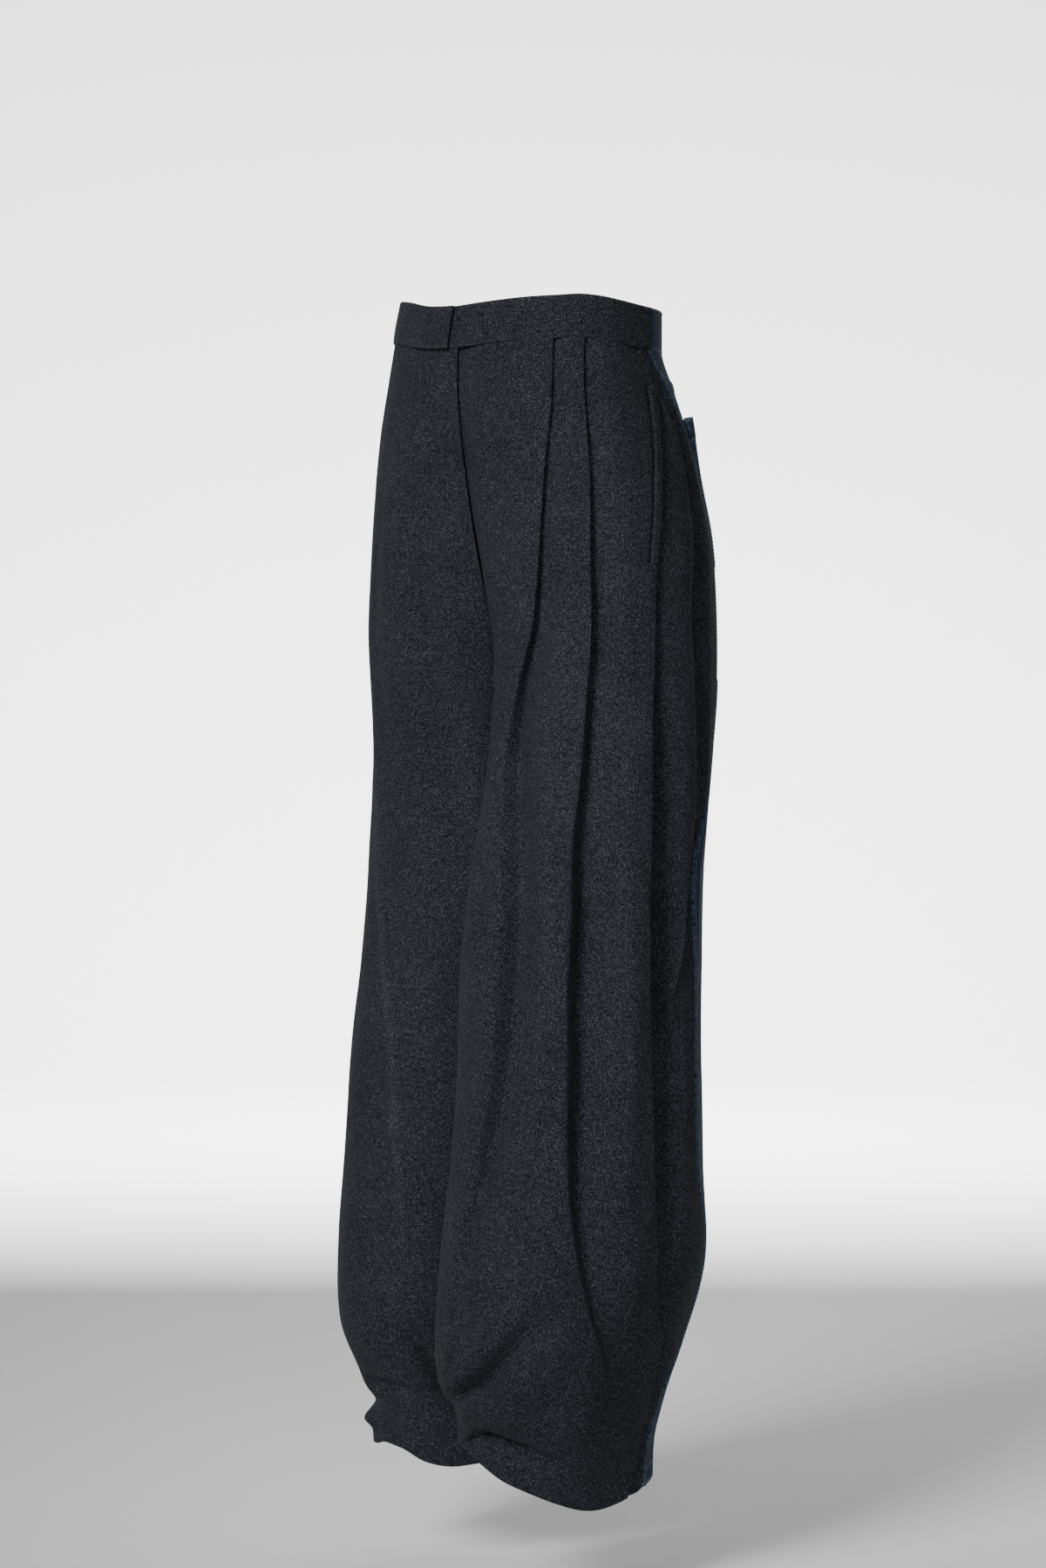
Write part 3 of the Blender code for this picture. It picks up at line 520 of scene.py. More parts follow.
class Path:
    """A smooth line over the cloth, with values along it."""

    SPANS_PER_STEP = 7
    REACH = 0.05

    def __init__(self, rows: Sequence[tuple]) -> None:
        """Samples the line.

        Args:
            rows: Rows of turn, level and the values that go along the line.
        """
        table = metres(rows, 0)
        places = np.arange(len(table), dtype=float)
        steps = np.linspace(0, len(table) - 1, (len(table) - 1) * self.SPANS_PER_STEP + 1)
        turn, level, *values = [read(places, column, steps) for column in table.T]
        self.line = np.stack([run_of(turn), level], axis=1)
        self.values = np.stack(values, axis=1)

    def near(self, turn: Array, level: Array) -> tuple[Array, Array, Array, Array]:
        """Finds the points close to the line.

        Args:
            turn: The turns, as a flat array.
            level: The levels, as a flat array.

        Returns:
            The indices of the close points, their signed distance (over 0 on the right of the run), the
            line's values beside them, and the unit vector that points away from the line on its right.
        """
        across = run_of(turn)
        low, high = self.line.min(0) - self.REACH, self.line.max(0) + self.REACH
        close = (across > low[0]) & (across < high[0]) & (level > low[1]) & (level < high[1])
        which = np.nonzero(close)[0]
        place = np.stack([across[which], level[which]], axis=1)
        best = np.full(len(which), np.inf)
        signed = np.zeros(len(which))
        values = np.zeros((len(which), self.values.shape[1]))
        away = np.zeros((len(which), 2))
        for start, end, from_value, to_value in zip(self.line, self.line[1:], self.values, self.values[1:]):
            run = end - start
            length = float(np.hypot(*run)) or 1e-9
            share = np.clip(((place - start) @ run) / length**2, 0, 1)[:, None]
            offset = place - (start + share * run)
            distance = np.hypot(offset[:, 0], offset[:, 1])
            right = np.array([-run[1], run[0]]) / length
            better = distance < best
            best[better] = distance[better]
            signed[better] = (np.sign(offset @ right) * distance)[better]
            values[better] = (from_value + share * (to_value - from_value))[better]
            away[better] = right
        return which, signed, values, away


# ---------------------------------------------------------------- the folded surface
class FoldLook(NamedTuple):
    """How crisp a fold is: shares of its drop's width and depth above and below the thigh, and overhang."""

    upper_riser: float
    lower_riser: float
    upper_depth: float
    lower_depth: float
    under: float


FOLD_LOOKS = (
    FoldLook(0.80, 1.00, 1.35, 1.10, 0.60),
    FoldLook(0.80, 0.95, 1.30, 1.10, 0.60),
    FoldLook(0.35, 0.30, 1.10, 1.60, 0.55),
    FoldLook(0.50, 0.60, 1.15, 1.00, 0.90),
)


@dataclass
class Shape:
    """One half of the garment as a folded surface over turns and levels."""

    side: Side
    crisp_riser: float = 0.0060
    under_recover: float = 0.010
    tuck_recover: float = 0.6
    thigh_top: float = -0.30
    thigh_bottom: float = -0.48
    lap_drop: float = 0.0040
    lap_edge: float = 0.007
    lap_recover: float = 0.020
    lap_ends: tuple[float, float] = (CROTCH_TOP - 0.01, CROTCH_TOP + 0.06)
    middle_ease: tuple[float, float] = (0.002, 0.030)
    lift_levels: tuple[float, float] = (-BAND_HEIGHT, -0.075)
    wave_cells: tuple[int, float] = (14, 0.170)
    ripple_cells: tuple[int, float] = (34, 0.060)
    wave_depth: float = 0.0016
    ripple_depth: float = 0.0007
    dent_depth: float = 0.0020
    dent_reach: float = 0.0011
    dent_end: float = 0.003
    pressed_half_width: float = 0.0035
    waist_rise_end: float = -0.160
    turn_step: float = 0.25
    level_step: float = 0.0010

    def __post_init__(self) -> None:
        """Prepares the curves, paths and waves of this side."""
        self.sections = Track(SECTIONS)
        self.side_seam = Track(SIDE_SEAM, 1, 2)
        self.folds = [Track(rows, 1) for rows in FOLDS[self.side]]
        self.troughs = [Track(rows, 1) for rows in TROUGHS[self.side]]
        self.pressed = Track(PRESSED_CREASE[self.side], 1)
        self.creases = [Path(rows) for rows in CREASES[self.side]]
        self.tucks = [Path(rows) for rows in TUCKS[self.side]]
        seed = self.side.pick(3, 8)
        self.waves = Unevenness(seed, *self.wave_cells)
        self.ripples = Unevenness(seed + 1, *self.ripple_cells)

    @staticmethod
    def power(value: Array) -> Array:
        """A sine or cosine, eased towards the section's squareness."""
        return np.copysign(np.abs(value) ** (2 / SQUARENESS), value)

    def ring(self, turn: Array, level: Array) -> tuple[Array, Array]:
        """Finds points of the plain section, without folds.

        Args:
            turn: The turns.
            level: The levels.

        Returns:
            X away from the middle, and Y.
        """
        centre_x, half_width, front, back, left_y, right_y = self.sections.at(level)
        angle = np.radians(turn)
        across, along = self.power(np.sin(angle)), self.power(np.cos(angle))
        reach = np.where(along > 0, front, back)
        return centre_x + half_width * across, self.side.pick(left_y, right_y) - reach * along

    def folded(self, turn: Array, level: Array) -> tuple[Array, Array, Array]:
        """Adds up the folds.

        Args:
            turn: The turns, as a flat array.
            level: The levels, as a flat array.

        Returns:
            How far the cloth goes in from its plain section, and how far its folds take it along and up.
        """
        depth, along, up = np.zeros_like(turn), np.zeros_like(turn), np.zeros_like(turn)
        low = 1 - smooth(self.thigh_bottom, self.thigh_top, level)
        for fold, look in zip(self.folds, FOLD_LOOKS):
            fold_turn, drop, riser, recover = fold.at(level)
            riser = riser * (look.upper_riser + (look.lower_riser - look.upper_riser) * low)
            drop = drop * (look.upper_depth + (look.lower_depth - look.upper_depth) * low)
            past = run_of(turn - fold_turn) + riser / 2
            depth += drop * dropped(past, riser, recover)
            under = look.under * drop * np.minimum(1.0, self.crisp_riser / riser)
            along -= under * dropped(past, riser, self.under_recover + recover / 2)
        beside = run_of(turn - self.riser_ends(POCKET_FOLD, level)[0]) + POCKET_EDGE_WIDTH + self.dent_reach
        within = smooth(POCKET_EDGE_BOTTOM, POCKET_EDGE_BOTTOM + self.dent_end, level)
        within = within * (1 - smooth(POCKET_EDGE_TOP - self.dent_end, POCKET_EDGE_TOP, level))
        depth += self.dent_depth * within * bell(beside, self.dent_reach)
        for trough in self.troughs:
            trough_turn, drop, half_width = trough.at(level)
            depth += drop * bell(run_of(turn - trough_turn), half_width)
        pressed_turn, height = self.pressed.at(level)
        depth -= height * np.exp(-np.abs(run_of(turn - pressed_turn)) / self.pressed_half_width)
        for crease in self.creases:
            which, signed, values, _away = crease.near(turn, level)
            depth[which] += values[:, 0] * bell(signed, np.where(signed < 0, values[:, 1], values[:, 2]))
        for tuck in self.tucks:
            which, signed, values, away = tuck.near(turn, level)
            drop, riser, recover, under = values.T
            past = signed + riser / 2
            depth[which] += drop * dropped(past, riser, recover)
            slide = under * dropped(past, riser, recover * self.tuck_recover)
            along[which] -= slide * away[:, 0]
            up[which] -= slide * away[:, 1]
        depth += self.wave_depth * self.waves.at(turn, level)
        depth += self.ripple_depth * self.ripples.at(turn, level)
        return depth, along, up

    def lapped(self, turn: Array, level: Array) -> Array:
        """Finds how far the left front lies in under the right one.

        Args:
            turn: The turns.
            level: The levels.

        Returns:
            The depths.
        """
        if self.side is Side.RIGHT:
            return np.zeros_like(turn)
        past = run_of(turn - self.middle_turn(level, at_back=False))
        shown = 1 - smooth(self.lap_edge, self.lap_edge + self.lap_recover, past)
        return self.lap_drop * shown * smooth(*self.lap_ends, level)

    def outside(self, turn: Array, level: Array) -> Array:
        """Finds points of the outer surface, folded, and lifted or lowered with the waist and the hem.

        Args:
            turn: The turns.
            level: The levels.

        Returns:
            The points, with a last axis of X, Y and Z.
        """
        shape = turn.shape
        turn, level = turn.ravel().astype(float), level.ravel().astype(float)
        from_middle = self.ring(turn, level)[0]
        depth, along, up = self.folded(turn, level)
        depth = depth * smooth(*self.middle_ease, from_middle) + self.lapped(turn, level)
        turn_at = turn + turn_of(along)
        level_at = level + up * smooth(*self.lift_levels, level)
        x, y = self.ring(turn_at, level_at)
        ahead_x, ahead_y = self.ring(turn_at + self.turn_step, level_at)
        behind_x, behind_y = self.ring(turn_at - self.turn_step, level_at)
        along_x, along_y = ahead_x - behind_x, ahead_y - behind_y
        length = np.hypot(along_x, along_y)
        x = x - depth * along_y / length
        y = y + depth * along_x / length
        waist = edge_rise(WAIST_RISE, self.side, turn) * smooth(self.waist_rise_end, -BAND_HEIGHT, level)
        hem = edge_rise(HEM_RISE, self.side, turn) * smooth(ANKLE, HEM, level)
        points = np.stack([self.side.value * np.maximum(HALF_GAP, x), y, level_at + waist + hem], axis=-1)
        return points.reshape(*shape, 3)

    def outward(self, turn: Array, level: Array) -> Array:
        """Finds the surface's own outward directions.

        Args:
            turn: The turns.
            level: The levels.

        Returns:
            Unit vectors.
        """
        along = self.outside(turn + self.turn_step, level) - self.outside(turn - self.turn_step, level)
        up = self.outside(turn, level + self.level_step) - self.outside(turn, level - self.level_step)
        normal = np.cross(along, up) * self.side.value
        return normal / np.maximum(np.linalg.norm(normal, axis=-1, keepdims=True), 1e-12)

    def skin(self, turn: Array, level: Array, out: float | Array = 0.0) -> Array:
        """Finds points of the outer surface, moved out along its own direction.

        Args:
            turn: The turns.
            level: The levels.
            out: How far the points move out.

        Returns:
            The points.
        """
        turn, level = np.broadcast_arrays(np.asarray(turn, dtype=float), np.asarray(level, dtype=float))
        out = np.broadcast_to(np.asarray(out, dtype=float), turn.shape)
        return self.outside(turn, level) + self.outward(turn, level) * out[..., None]

    def middle_turn(self, level: Array, at_back: bool) -> Array:
        """Finds where the section meets the middle, or the inseam below the crotch.

        Args:
            level: The levels.
            at_back: True for the back, False for the front.

        Returns:
            The turns.
        """
        centre_x, half_width = self.sections.at(level)[:2]
        share = np.clip((centre_x - HALF_GAP) / half_width, 0.0, 1.0)
        meets = np.degrees(np.arcsin(share ** (SQUARENESS / 2)))
        closed = np.clip((CROTCH_TOP - level) / (CROTCH_TOP - CROTCH_BOTTOM), 0.0, 1.0)
        meets = meets + (90 - meets) * (1 - np.sqrt(1 - closed**2))
        inset = turn_of(HALF_GAP) * closed
        return 180 + meets - inset if at_back else inset - meets

    def riser_ends(self, fold: int, level: Array) -> tuple[Array, Array]:
        """The turns at which a fold's drop starts and ends."""
        fold_turn, _depth, riser, _recover = self.folds[fold].at(level)
        return fold_turn - turn_of(riser / 2), fold_turn + turn_of(riser / 2)

    def side_seam_turn(self, level: Array) -> Array:
        """The turn of the seam between the wool and the denim."""
        return self.side.pick(*self.side_seam.at(level))

    def pressed_turn(self, level: Array) -> Array:
        """The turn of the crease pressed down the leg's front."""
        return self.pressed.at(level)[0]


def yoke_level(turn: Array) -> Array:
    """The seam under the yoke, which drops from the side to the middle of the back."""
    share = np.clip((turn - YOKE_SIDE_TURN) / (180 - YOKE_SIDE_TURN), 0.0, 1.0)
    return YOKE_SIDE + (YOKE_MIDDLE - YOKE_SIDE) * share


def spread(breaks: Sequence[Array], counts: Sequence[int]) -> Array:
    """Lays columns from one break to the next, each stretch divided evenly.

    Args:
        breaks: The breaks, each an array over the rows.
        counts: The columns in each stretch.

    Returns:
        An array of rows by columns.
    """
    columns = [breaks[0]]
    for start, end, count in zip(breaks, breaks[1:], counts):
        columns += [start + (end - start) * step / count for step in range(1, count + 1)]
    return np.stack(columns, axis=1)


# ---------------------------------------------------------------- finishes
def colour(red: float, green: float, blue: float) -> Colour:
    """Makes a linear, opaque colour from screen values.

    Args:
        red: Red, from 0 to 255.
        green: Green, from 0 to 255.
        blue: Blue, from 0 to 255.

    Returns:
        The colour.
    """
    shares = np.array([red, green, blue]) / 255
    linear = np.where(shares <= 0.04045, shares / 12.92, ((shares + 0.055) / 1.055) ** 2.4)
    return (*map(float, linear), 1.0)


class Nodes:
    """A short way to lay out a material's nodes."""

    def __init__(self, name: str, **shader: float | Colour) -> None:
        """Starts a material with one shader.

        Args:
            name: The material's name.
            shader: The shader's own settings, by name, with _ for each space.
        """
        self.material = bpy.data.materials.new(name)
        self.material.use_nodes = True
        self.tree = self.material.node_tree
        self.shader = self.tree.nodes["Principled BSDF"]
        for setting, value in shader.items():
            self.shader.inputs[setting.replace("_", " ")].default_value = value

    def add(self, kind: str, inputs: dict | None = None, **settings: object) -> bpy.types.Node:
        """Adds a node.

        Args:
            kind: The node's type.
            inputs: Values or sockets for its inputs, by name or place.
            settings: The node's own properties.

        Returns:
            The node.
        """
        node = self.tree.nodes.new(kind)
        for name, value in settings.items():
            setattr(node, name, value)
        for name, value in (inputs or {}).items():
            if isinstance(value, Socket):
                self.tree.links.new(value, node.inputs[name])
            else:
                node.inputs[name].default_value = value
        return node

    def maths(self, operation: str, first: float | Socket, second: float | Socket) -> Socket:
        """Works on two numbers."""
        return self.add("ShaderNodeMath", {0: first, 1: second}, operation=operation).outputs[0]

    def fit(self, value: Socket, low: float, high: float, to_low: float, to_high: float) -> Socket:
        """Maps one range of numbers to another, held at its ends."""
        inputs = {"Value": value, "From Min": low, "From Max": high, "To Min": to_low, "To Max": to_high}
        return self.add("ShaderNodeMapRange", inputs).outputs[0]

    def mix(
        self, share: float | Socket, first: Colour | Socket, second: Colour | Socket, blend: str = "MIX"
    ) -> Socket:
        """Mixes a share of the second colour into the first."""
        inputs = {0: share, 6: first, 7: second}
        return self.add("ShaderNodeMix", inputs, data_type="RGBA", blend_type=blend).outputs[2]

    def noise(self, where: Socket, scale: float, detail: float, roughness: float) -> Socket:
        """A cloudy pattern."""
        inputs = {"Vector": where, "Scale": scale, "Detail": detail, "Roughness": roughness}
        return self.add("ShaderNodeTexNoise", inputs).outputs["Fac"]

    def mapped(self, where: Socket, scale_y: float = 1.0, angle: float = 0.0) -> Socket:
        """Coordinates turned in the cloth's plane or stretched along one way."""
        inputs = {"Vector": where, "Rotation": (0, 0, angle), "Scale": (1.0, scale_y, 1.0)}
        return self.add("ShaderNodeMapping", inputs).outputs[0]

    def place(self) -> Socket:
        """The piece's own coordinates."""
        return self.add("ShaderNodeTexCoord").outputs["Object"]

    def cloth(self) -> Socket:
        """The cloth's own coordinates."""
        return self.add("ShaderNodeUVMap", uv_map="weave").outputs[0]

    def wear(self) -> Socket:
        """How worn the cloth is, and how much painted highlight pales the wool's crests."""
        return self.add("ShaderNodeAttribute", attribute_name="wear").outputs["Fac"]

    def finish(self, base: Socket, height: Socket, depth: float, strength: float) -> bpy.types.Material:
        """Ends the material.

        Args:
            base: Its colour.
            height: The pattern of its fine relief.
            depth: The relief's depth.
            strength: The relief's strength.

        Returns:
            The material.
        """
        relief = self.add("ShaderNodeBump", {"Height": height, "Distance": depth, "Strength": strength})
        self.tree.links.new(base, self.shader.inputs["Base Color"])
        self.tree.links.new(relief.outputs[0], self.shader.inputs["Normal"])
        return self.material


@dataclass(frozen=True)
class WoolFlannel:
    """Charcoal flannel of dark and pale fibres spun together, with a soft nap."""

    ground: Colour = colour(30, 32, 37)
    dark_fibre: Colour = colour(13, 14, 18)
    pale_fibre: Colour = colour(84, 87, 94)
    # pale colour for real wear at the waistband's edges and for painted highlight along the pressed crease
    # and the fold behind the pocket
    worn: Colour = colour(90, 93, 98)
    speck_scale: float = 820
    clump_scale: float = 330
    fibre_scale: float = 1500
    cloud_scale: float = 16
    fibre_slant: float = 0.6
    fibre_stretch: float = 0.35
    nap: float = 0.0007

    def material(self) -> bpy.types.Material:
        """Makes the finish.

        Returns:
            The material.
        """
        nodes = Nodes(
            "charcoal_wool_flannel",
            Roughness=0.95,
            Sheen_Weight=0.012,
            Sheen_Roughness=0.60,
            Sheen_Tint=(0.80, 0.86, 0.94, 1.0),
            Specular_IOR_Level=0.06,
        )
        place, cloth = nodes.place(), nodes.cloth()
        speck = nodes.noise(place, self.speck_scale, 3.0, 0.62)
        clump = nodes.noise(place, self.clump_scale, 3.0, 0.60)
        slanted = nodes.mapped(nodes.mapped(cloth, angle=self.fibre_slant), scale_y=self.fibre_stretch)
        fibre = nodes.noise(slanted, self.fibre_scale, 2.0, 0.55)
        cloud = nodes.noise(place, self.cloud_scale, 3.0, 0.55)
        base = nodes.mix(nodes.fit(clump, 0.36, 0.66, 0.0, 1.0), self.dark_fibre, self.ground)
        base = nodes.mix(nodes.fit(speck, 0.50, 0.72, 0.0, 0.75), base, self.pale_fibre)
        base = nodes.mix(nodes.fit(fibre, 0.56, 0.74, 0.0, 0.35), base, self.pale_fibre)
        base = nodes.mix(nodes.fit(fibre, 0.46, 0.30, 0.0, 0.45), base, self.dark_fibre)
        shade = nodes.fit(cloud, 0.3, 0.7, 0.88, 1.12)
        grey = nodes.add("ShaderNodeCombineColor", {0: shade, 1: shade, 2: shade}).outputs[0]
        base = nodes.mix(1.0, base, grey, "MULTIPLY")
        # the attribute pales the wool: real wear at the waistband's edges, painted highlight along the
        # pressed crease and the fold behind the pocket
        wear_and_highlight_mask = nodes.maths("MULTIPLY", nodes.wear(), nodes.fit(speck, 0.35, 0.6, 0.35, 1.0))
        base = nodes.mix(wear_and_highlight_mask, base, self.worn)
        height = nodes.maths("ADD", nodes.maths("MULTIPLY", speck, 0.6), nodes.maths("MULTIPLY", fibre, 0.4))
        return nodes.finish(base, height, self.nap, 0.55)


@dataclass(frozen=True)
class IndigoDenim:
    """Dark indigo twill, paler where its seams and edges rub."""

    warp: Colour = colour(16, 29, 46)
    deep_warp: Colour = colour(11, 21, 35)
    weft: Colour = colour(50, 69, 90)
    worn: Colour = colour(92, 112, 130)
    twill_pitch: float = 0.00095
    twill_slant: float = 27.0
    thread_scale: float = 900
    slub_scale: float = 170
    cloud_scale: float = 22
    rope_scale: float = 260
    relief: float = 0.0004

    def material(self) -> bpy.types.Material:
        """Makes the finish.

        Returns:
            The material.
        """
        nodes = Nodes("indigo_denim_twill", Roughness=0.86, Sheen_Weight=0.015, Specular_IOR_Level=0.12)
        place, cloth = nodes.place(), nodes.cloth()
        slant = nodes.mapped(cloth, angle=math.radians(self.twill_slant))
        bands = {"Vector": slant, "Scale": 0.314 / self.twill_pitch}
        bands |= {"Distortion": 0.6, "Detail": 1.0, "Detail Scale": 2.0}
        wave = nodes.add("ShaderNodeTexWave", bands, bands_direction="X").outputs["Fac"]
        thread = nodes.noise(nodes.mapped(cloth, scale_y=0.06), self.thread_scale, 2.0, 0.6)
        slub = nodes.noise(nodes.mapped(cloth, scale_y=0.10), self.slub_scale, 3.0, 0.6)
        cloud = nodes.noise(place, self.cloud_scale, 3.0, 0.6)
        base = nodes.mix(nodes.fit(slub, 0.35, 0.68, 0.0, 1.0), self.deep_warp, self.warp)
        base = nodes.mix(nodes.fit(cloud, 0.38, 0.70, 0.0, 0.14), base, self.weft)
        crest, broken = nodes.fit(wave, 0.55, 0.95, 0.0, 1.0), nodes.fit(thread, 0.3, 0.7, 0.1, 0.8)
        point = nodes.maths("MULTIPLY", crest, broken)
        base = nodes.mix(nodes.maths("MULTIPLY", point, 0.55), base, self.weft)
        ropes = nodes.noise(cloth, self.rope_scale, 2.0, 0.6)
        wear_and_highlight_mask = nodes.maths("MULTIPLY", nodes.wear(), nodes.fit(ropes, 0.34, 0.62, 0.04, 0.75))
        base = nodes.mix(wear_and_highlight_mask, base, self.worn)
        height = nodes.maths("ADD", nodes.maths("MULTIPLY", wave, 0.6), nodes.maths("MULTIPLY", thread, 0.4))
        return nodes.finish(base, height, self.relief, 0.6)


@dataclass(frozen=True)
class Thread:
    """Topstitching thread, close to its cloth's own colour."""

    name: str
    body: Colour
    light: Colour
    twist: float = 2600.0

    def material(self) -> bpy.types.Material:
        """Makes the finish.

        Returns:
            The material.
        """
        nodes = Nodes(self.name, Roughness=0.7, Sheen_Weight=0.1)
        fine = nodes.noise(nodes.place(), self.twist, 1.0, 0.5)
        base = nodes.mix(nodes.fit(fine, 0.35, 0.65, 0.0, 1.0), self.body, self.light)
        return nodes.finish(base, fine, 0.0002, 0.5)


# ---------------------------------------------------------------- cloth pieces
def grid_mesh(name: str, points: Array, weave: Array, wear: Array, inside_out: bool) -> Piece:
    """Lays a grid over rows and columns of points.

    Args:
        name: The piece's name.
        points: The points, rows by columns by 3.
        weave: The cloth's own coordinates in metres, rows by columns by 2.
        wear: How worn the cloth is, and how much painted highlight pales the wool's crests, rows by columns.
        inside_out: Whether the grid's faces have to be turned.

    Returns:
        The piece.
    """
    rows, columns = points.shape[0] - 1, points.shape[1] - 1
    shape = bmesh.new()
    bmesh.ops.create_grid(shape, x_segments=columns, y_segments=rows, size=0.5)
    if inside_out:
        bmesh.ops.reverse_faces(shape, faces=shape.faces[:])
    mesh = bpy.data.meshes.new(name)
    shape.to_mesh(mesh)
    shape.free()
    flat = np.zeros(len(mesh.vertices) * 3)
    mesh.vertices.foreach_get("co", flat)
    across, up, _level = flat.reshape(-1, 3).T
    column = np.rint((across + 0.5) * columns).astype(int)
    row = np.rint((0.5 - up) * rows).astype(int)
    mesh.vertices.foreach_set("co", points[row, column].ravel())
    corner = np.zeros(len(mesh.loops), dtype=int)
    mesh.loops.foreach_get("vertex_index", corner)
    layer = mesh.uv_layers.new(name="weave")
    layer.uv.foreach_set("vector", weave[row, column][corner].ravel())
    # one attribute for real wear on denim and the waistband and for painted highlight on the wool's crests
    wear_and_highlight_mask = mesh.attributes.new("wear", "FLOAT", "POINT")
    wear_and_highlight_mask.data.foreach_set("value", wear[row, column].astype(np.float32))
    mesh.shade_smooth()
    mesh.update()
    return placed(name, mesh)


def placed(name: str, data: bpy.types.ID) -> Piece:
    """Puts a mesh, a light or a camera in the scene.

    Args:
        name: The object's name.
        data: The mesh, light or camera.

    Returns:
        The object.
    """
    piece = bpy.data.objects.new(name, data)
    bpy.context.scene.collection.objects.link(piece)
    return piece


class Rub(NamedTuple):
    """A worn line: how worn it is, how far it lies from an edge, and its reach."""

    strength: float
    place: float
    reach: float

    def at(self, distance: Array) -> Array:
        """How worn the cloth is at a distance from the edge."""
        return self.strength * bell(distance - self.place, self.reach)


class Cut(NamedTuple):
    """The flat cut of a piece: the width and length of its rectangle, and its area."""

    width: float
    length: float
    area: float


class ClothPiece:
    """What every piece of cloth is given once its points are known."""

    def __init__(self, slot: Slot, finish: bpy.types.Material) -> None:
        """Keeps the finish.

        Args:
            slot: The record's slot.
            finish: The material.
        """
        self.slot, self.finish = slot, finish

    def dress(
        self, piece: Piece, node: str, cut: Cut, hold: Hold, rests_on: Sequence[str], wall: float
    ) -> Piece:
        """Gives a piece its wall, finish and place on the frame.

        Args:
            piece: The piece, as an open sheet or a closed one.
            node: The solid that it stands for.
            cut: Its flat cut; not used.
            hold: How it is held; not used.
            rests_on: What it hangs from or lies on; not used.
            wall: The cloth's thickness, or 0 where the piece is closed already.

        Returns:
            The piece.
        """
        if wall:
            thick = piece.modifiers.new("wall", "SOLIDIFY")
            thick.thickness = wall
            thick.offset = -1
            thick.use_rim = True
            thick.use_quality_normals = True
        piece.data.materials.append(self.finish)
        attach(piece, "root")
        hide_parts(node)
        LOG.info("%s stands for %s, %d faces", piece.name, node, len(piece.data.polygons))
        return piece


class HalfPiece(ClothPiece):
    """A piece on one half of the garment, laid over that half's folded surface."""

    def __init__(self, shape: Shape, slot: Slot, finish: bpy.types.Material) -> None:
        """Keeps the half's shape.

        Args:
            shape: The folded surface.
            slot: The record's slot.
            finish: The material.
        """
        super().__init__(slot, finish)
        self.shape = shape

    def weave(self, turns: Array, level: Array) -> Array:
        """The cloth's own coordinates, in metres."""
        return np.stack([run_of(turns) * self.shape.side.value, level], axis=-1)

    def sew(
        self,
        names: tuple[str, str],
        grids: tuple[Array, Array, Array],
        cut: Cut,
        rests_on: str,
        hold: Hold = Hold.HUNG,
        wall: float = CLOTH_WALL,
    ) -> Piece:
        """Makes the piece from its grids.

        Args:
            names: The names of the piece and of its solid, without the side.
            grids: The points, the cloth's own coordinates, and the wear with any painted highlight.
            cut: Its flat cut.
            rests_on: What it hangs from or lies on.
            hold: How it is held.
            wall: The cloth's thickness.

        Returns:
            The piece.
        """
        name, node = (f"{word}_{self.shape.side.word}" for word in names)
        piece = grid_mesh(name, *grids, inside_out=self.shape.side is Side.RIGHT)
        return self.dress(piece, node, cut, hold, [rests_on], wall)


@dataclass(frozen=True)
class PanelRows:
    """The rows of a whole panel: from the waistband to the hem, round the hem's fold and up behind it."""

    upper: int = 205
    lower: int = 78
    fold_radius: float = 0.0016
    fold_steps: int = 4
    turn_up: float = 0.018
    turn_up_rows: int = 5

    def levels(self) -> tuple[Array, Array, Array]:
        """Works out the rows.

        Returns:
            The level of each row on the cloth, and as columns how far it moves in and down past the hem.
        """
        upper = np.linspace(PANEL_TOP, ANKLE, self.upper + 1)
        lower = np.linspace(ANKLE, HEM, self.lower + 1)[1:]
        angles = np.linspace(0, math.pi, self.fold_steps + 1)[1:]
        inside = np.linspace(HEM, HEM + self.turn_up, self.turn_up_rows + 1)[1:]
        level = np.concatenate([upper, lower, np.full(self.fold_steps, HEM), inside])
        main = np.zeros(self.upper + self.lower + 1)
        fold_in = -self.fold_radius * (1 - np.cos(angles))
        inward = np.concatenate([main, fold_in, np.full(self.turn_up_rows, -2 * self.fold_radius)])
        sag = np.concatenate([main, self.fold_radius * np.sin(angles), np.zeros(self.turn_up_rows)])
        return level, inward[:, None], sag[:, None]


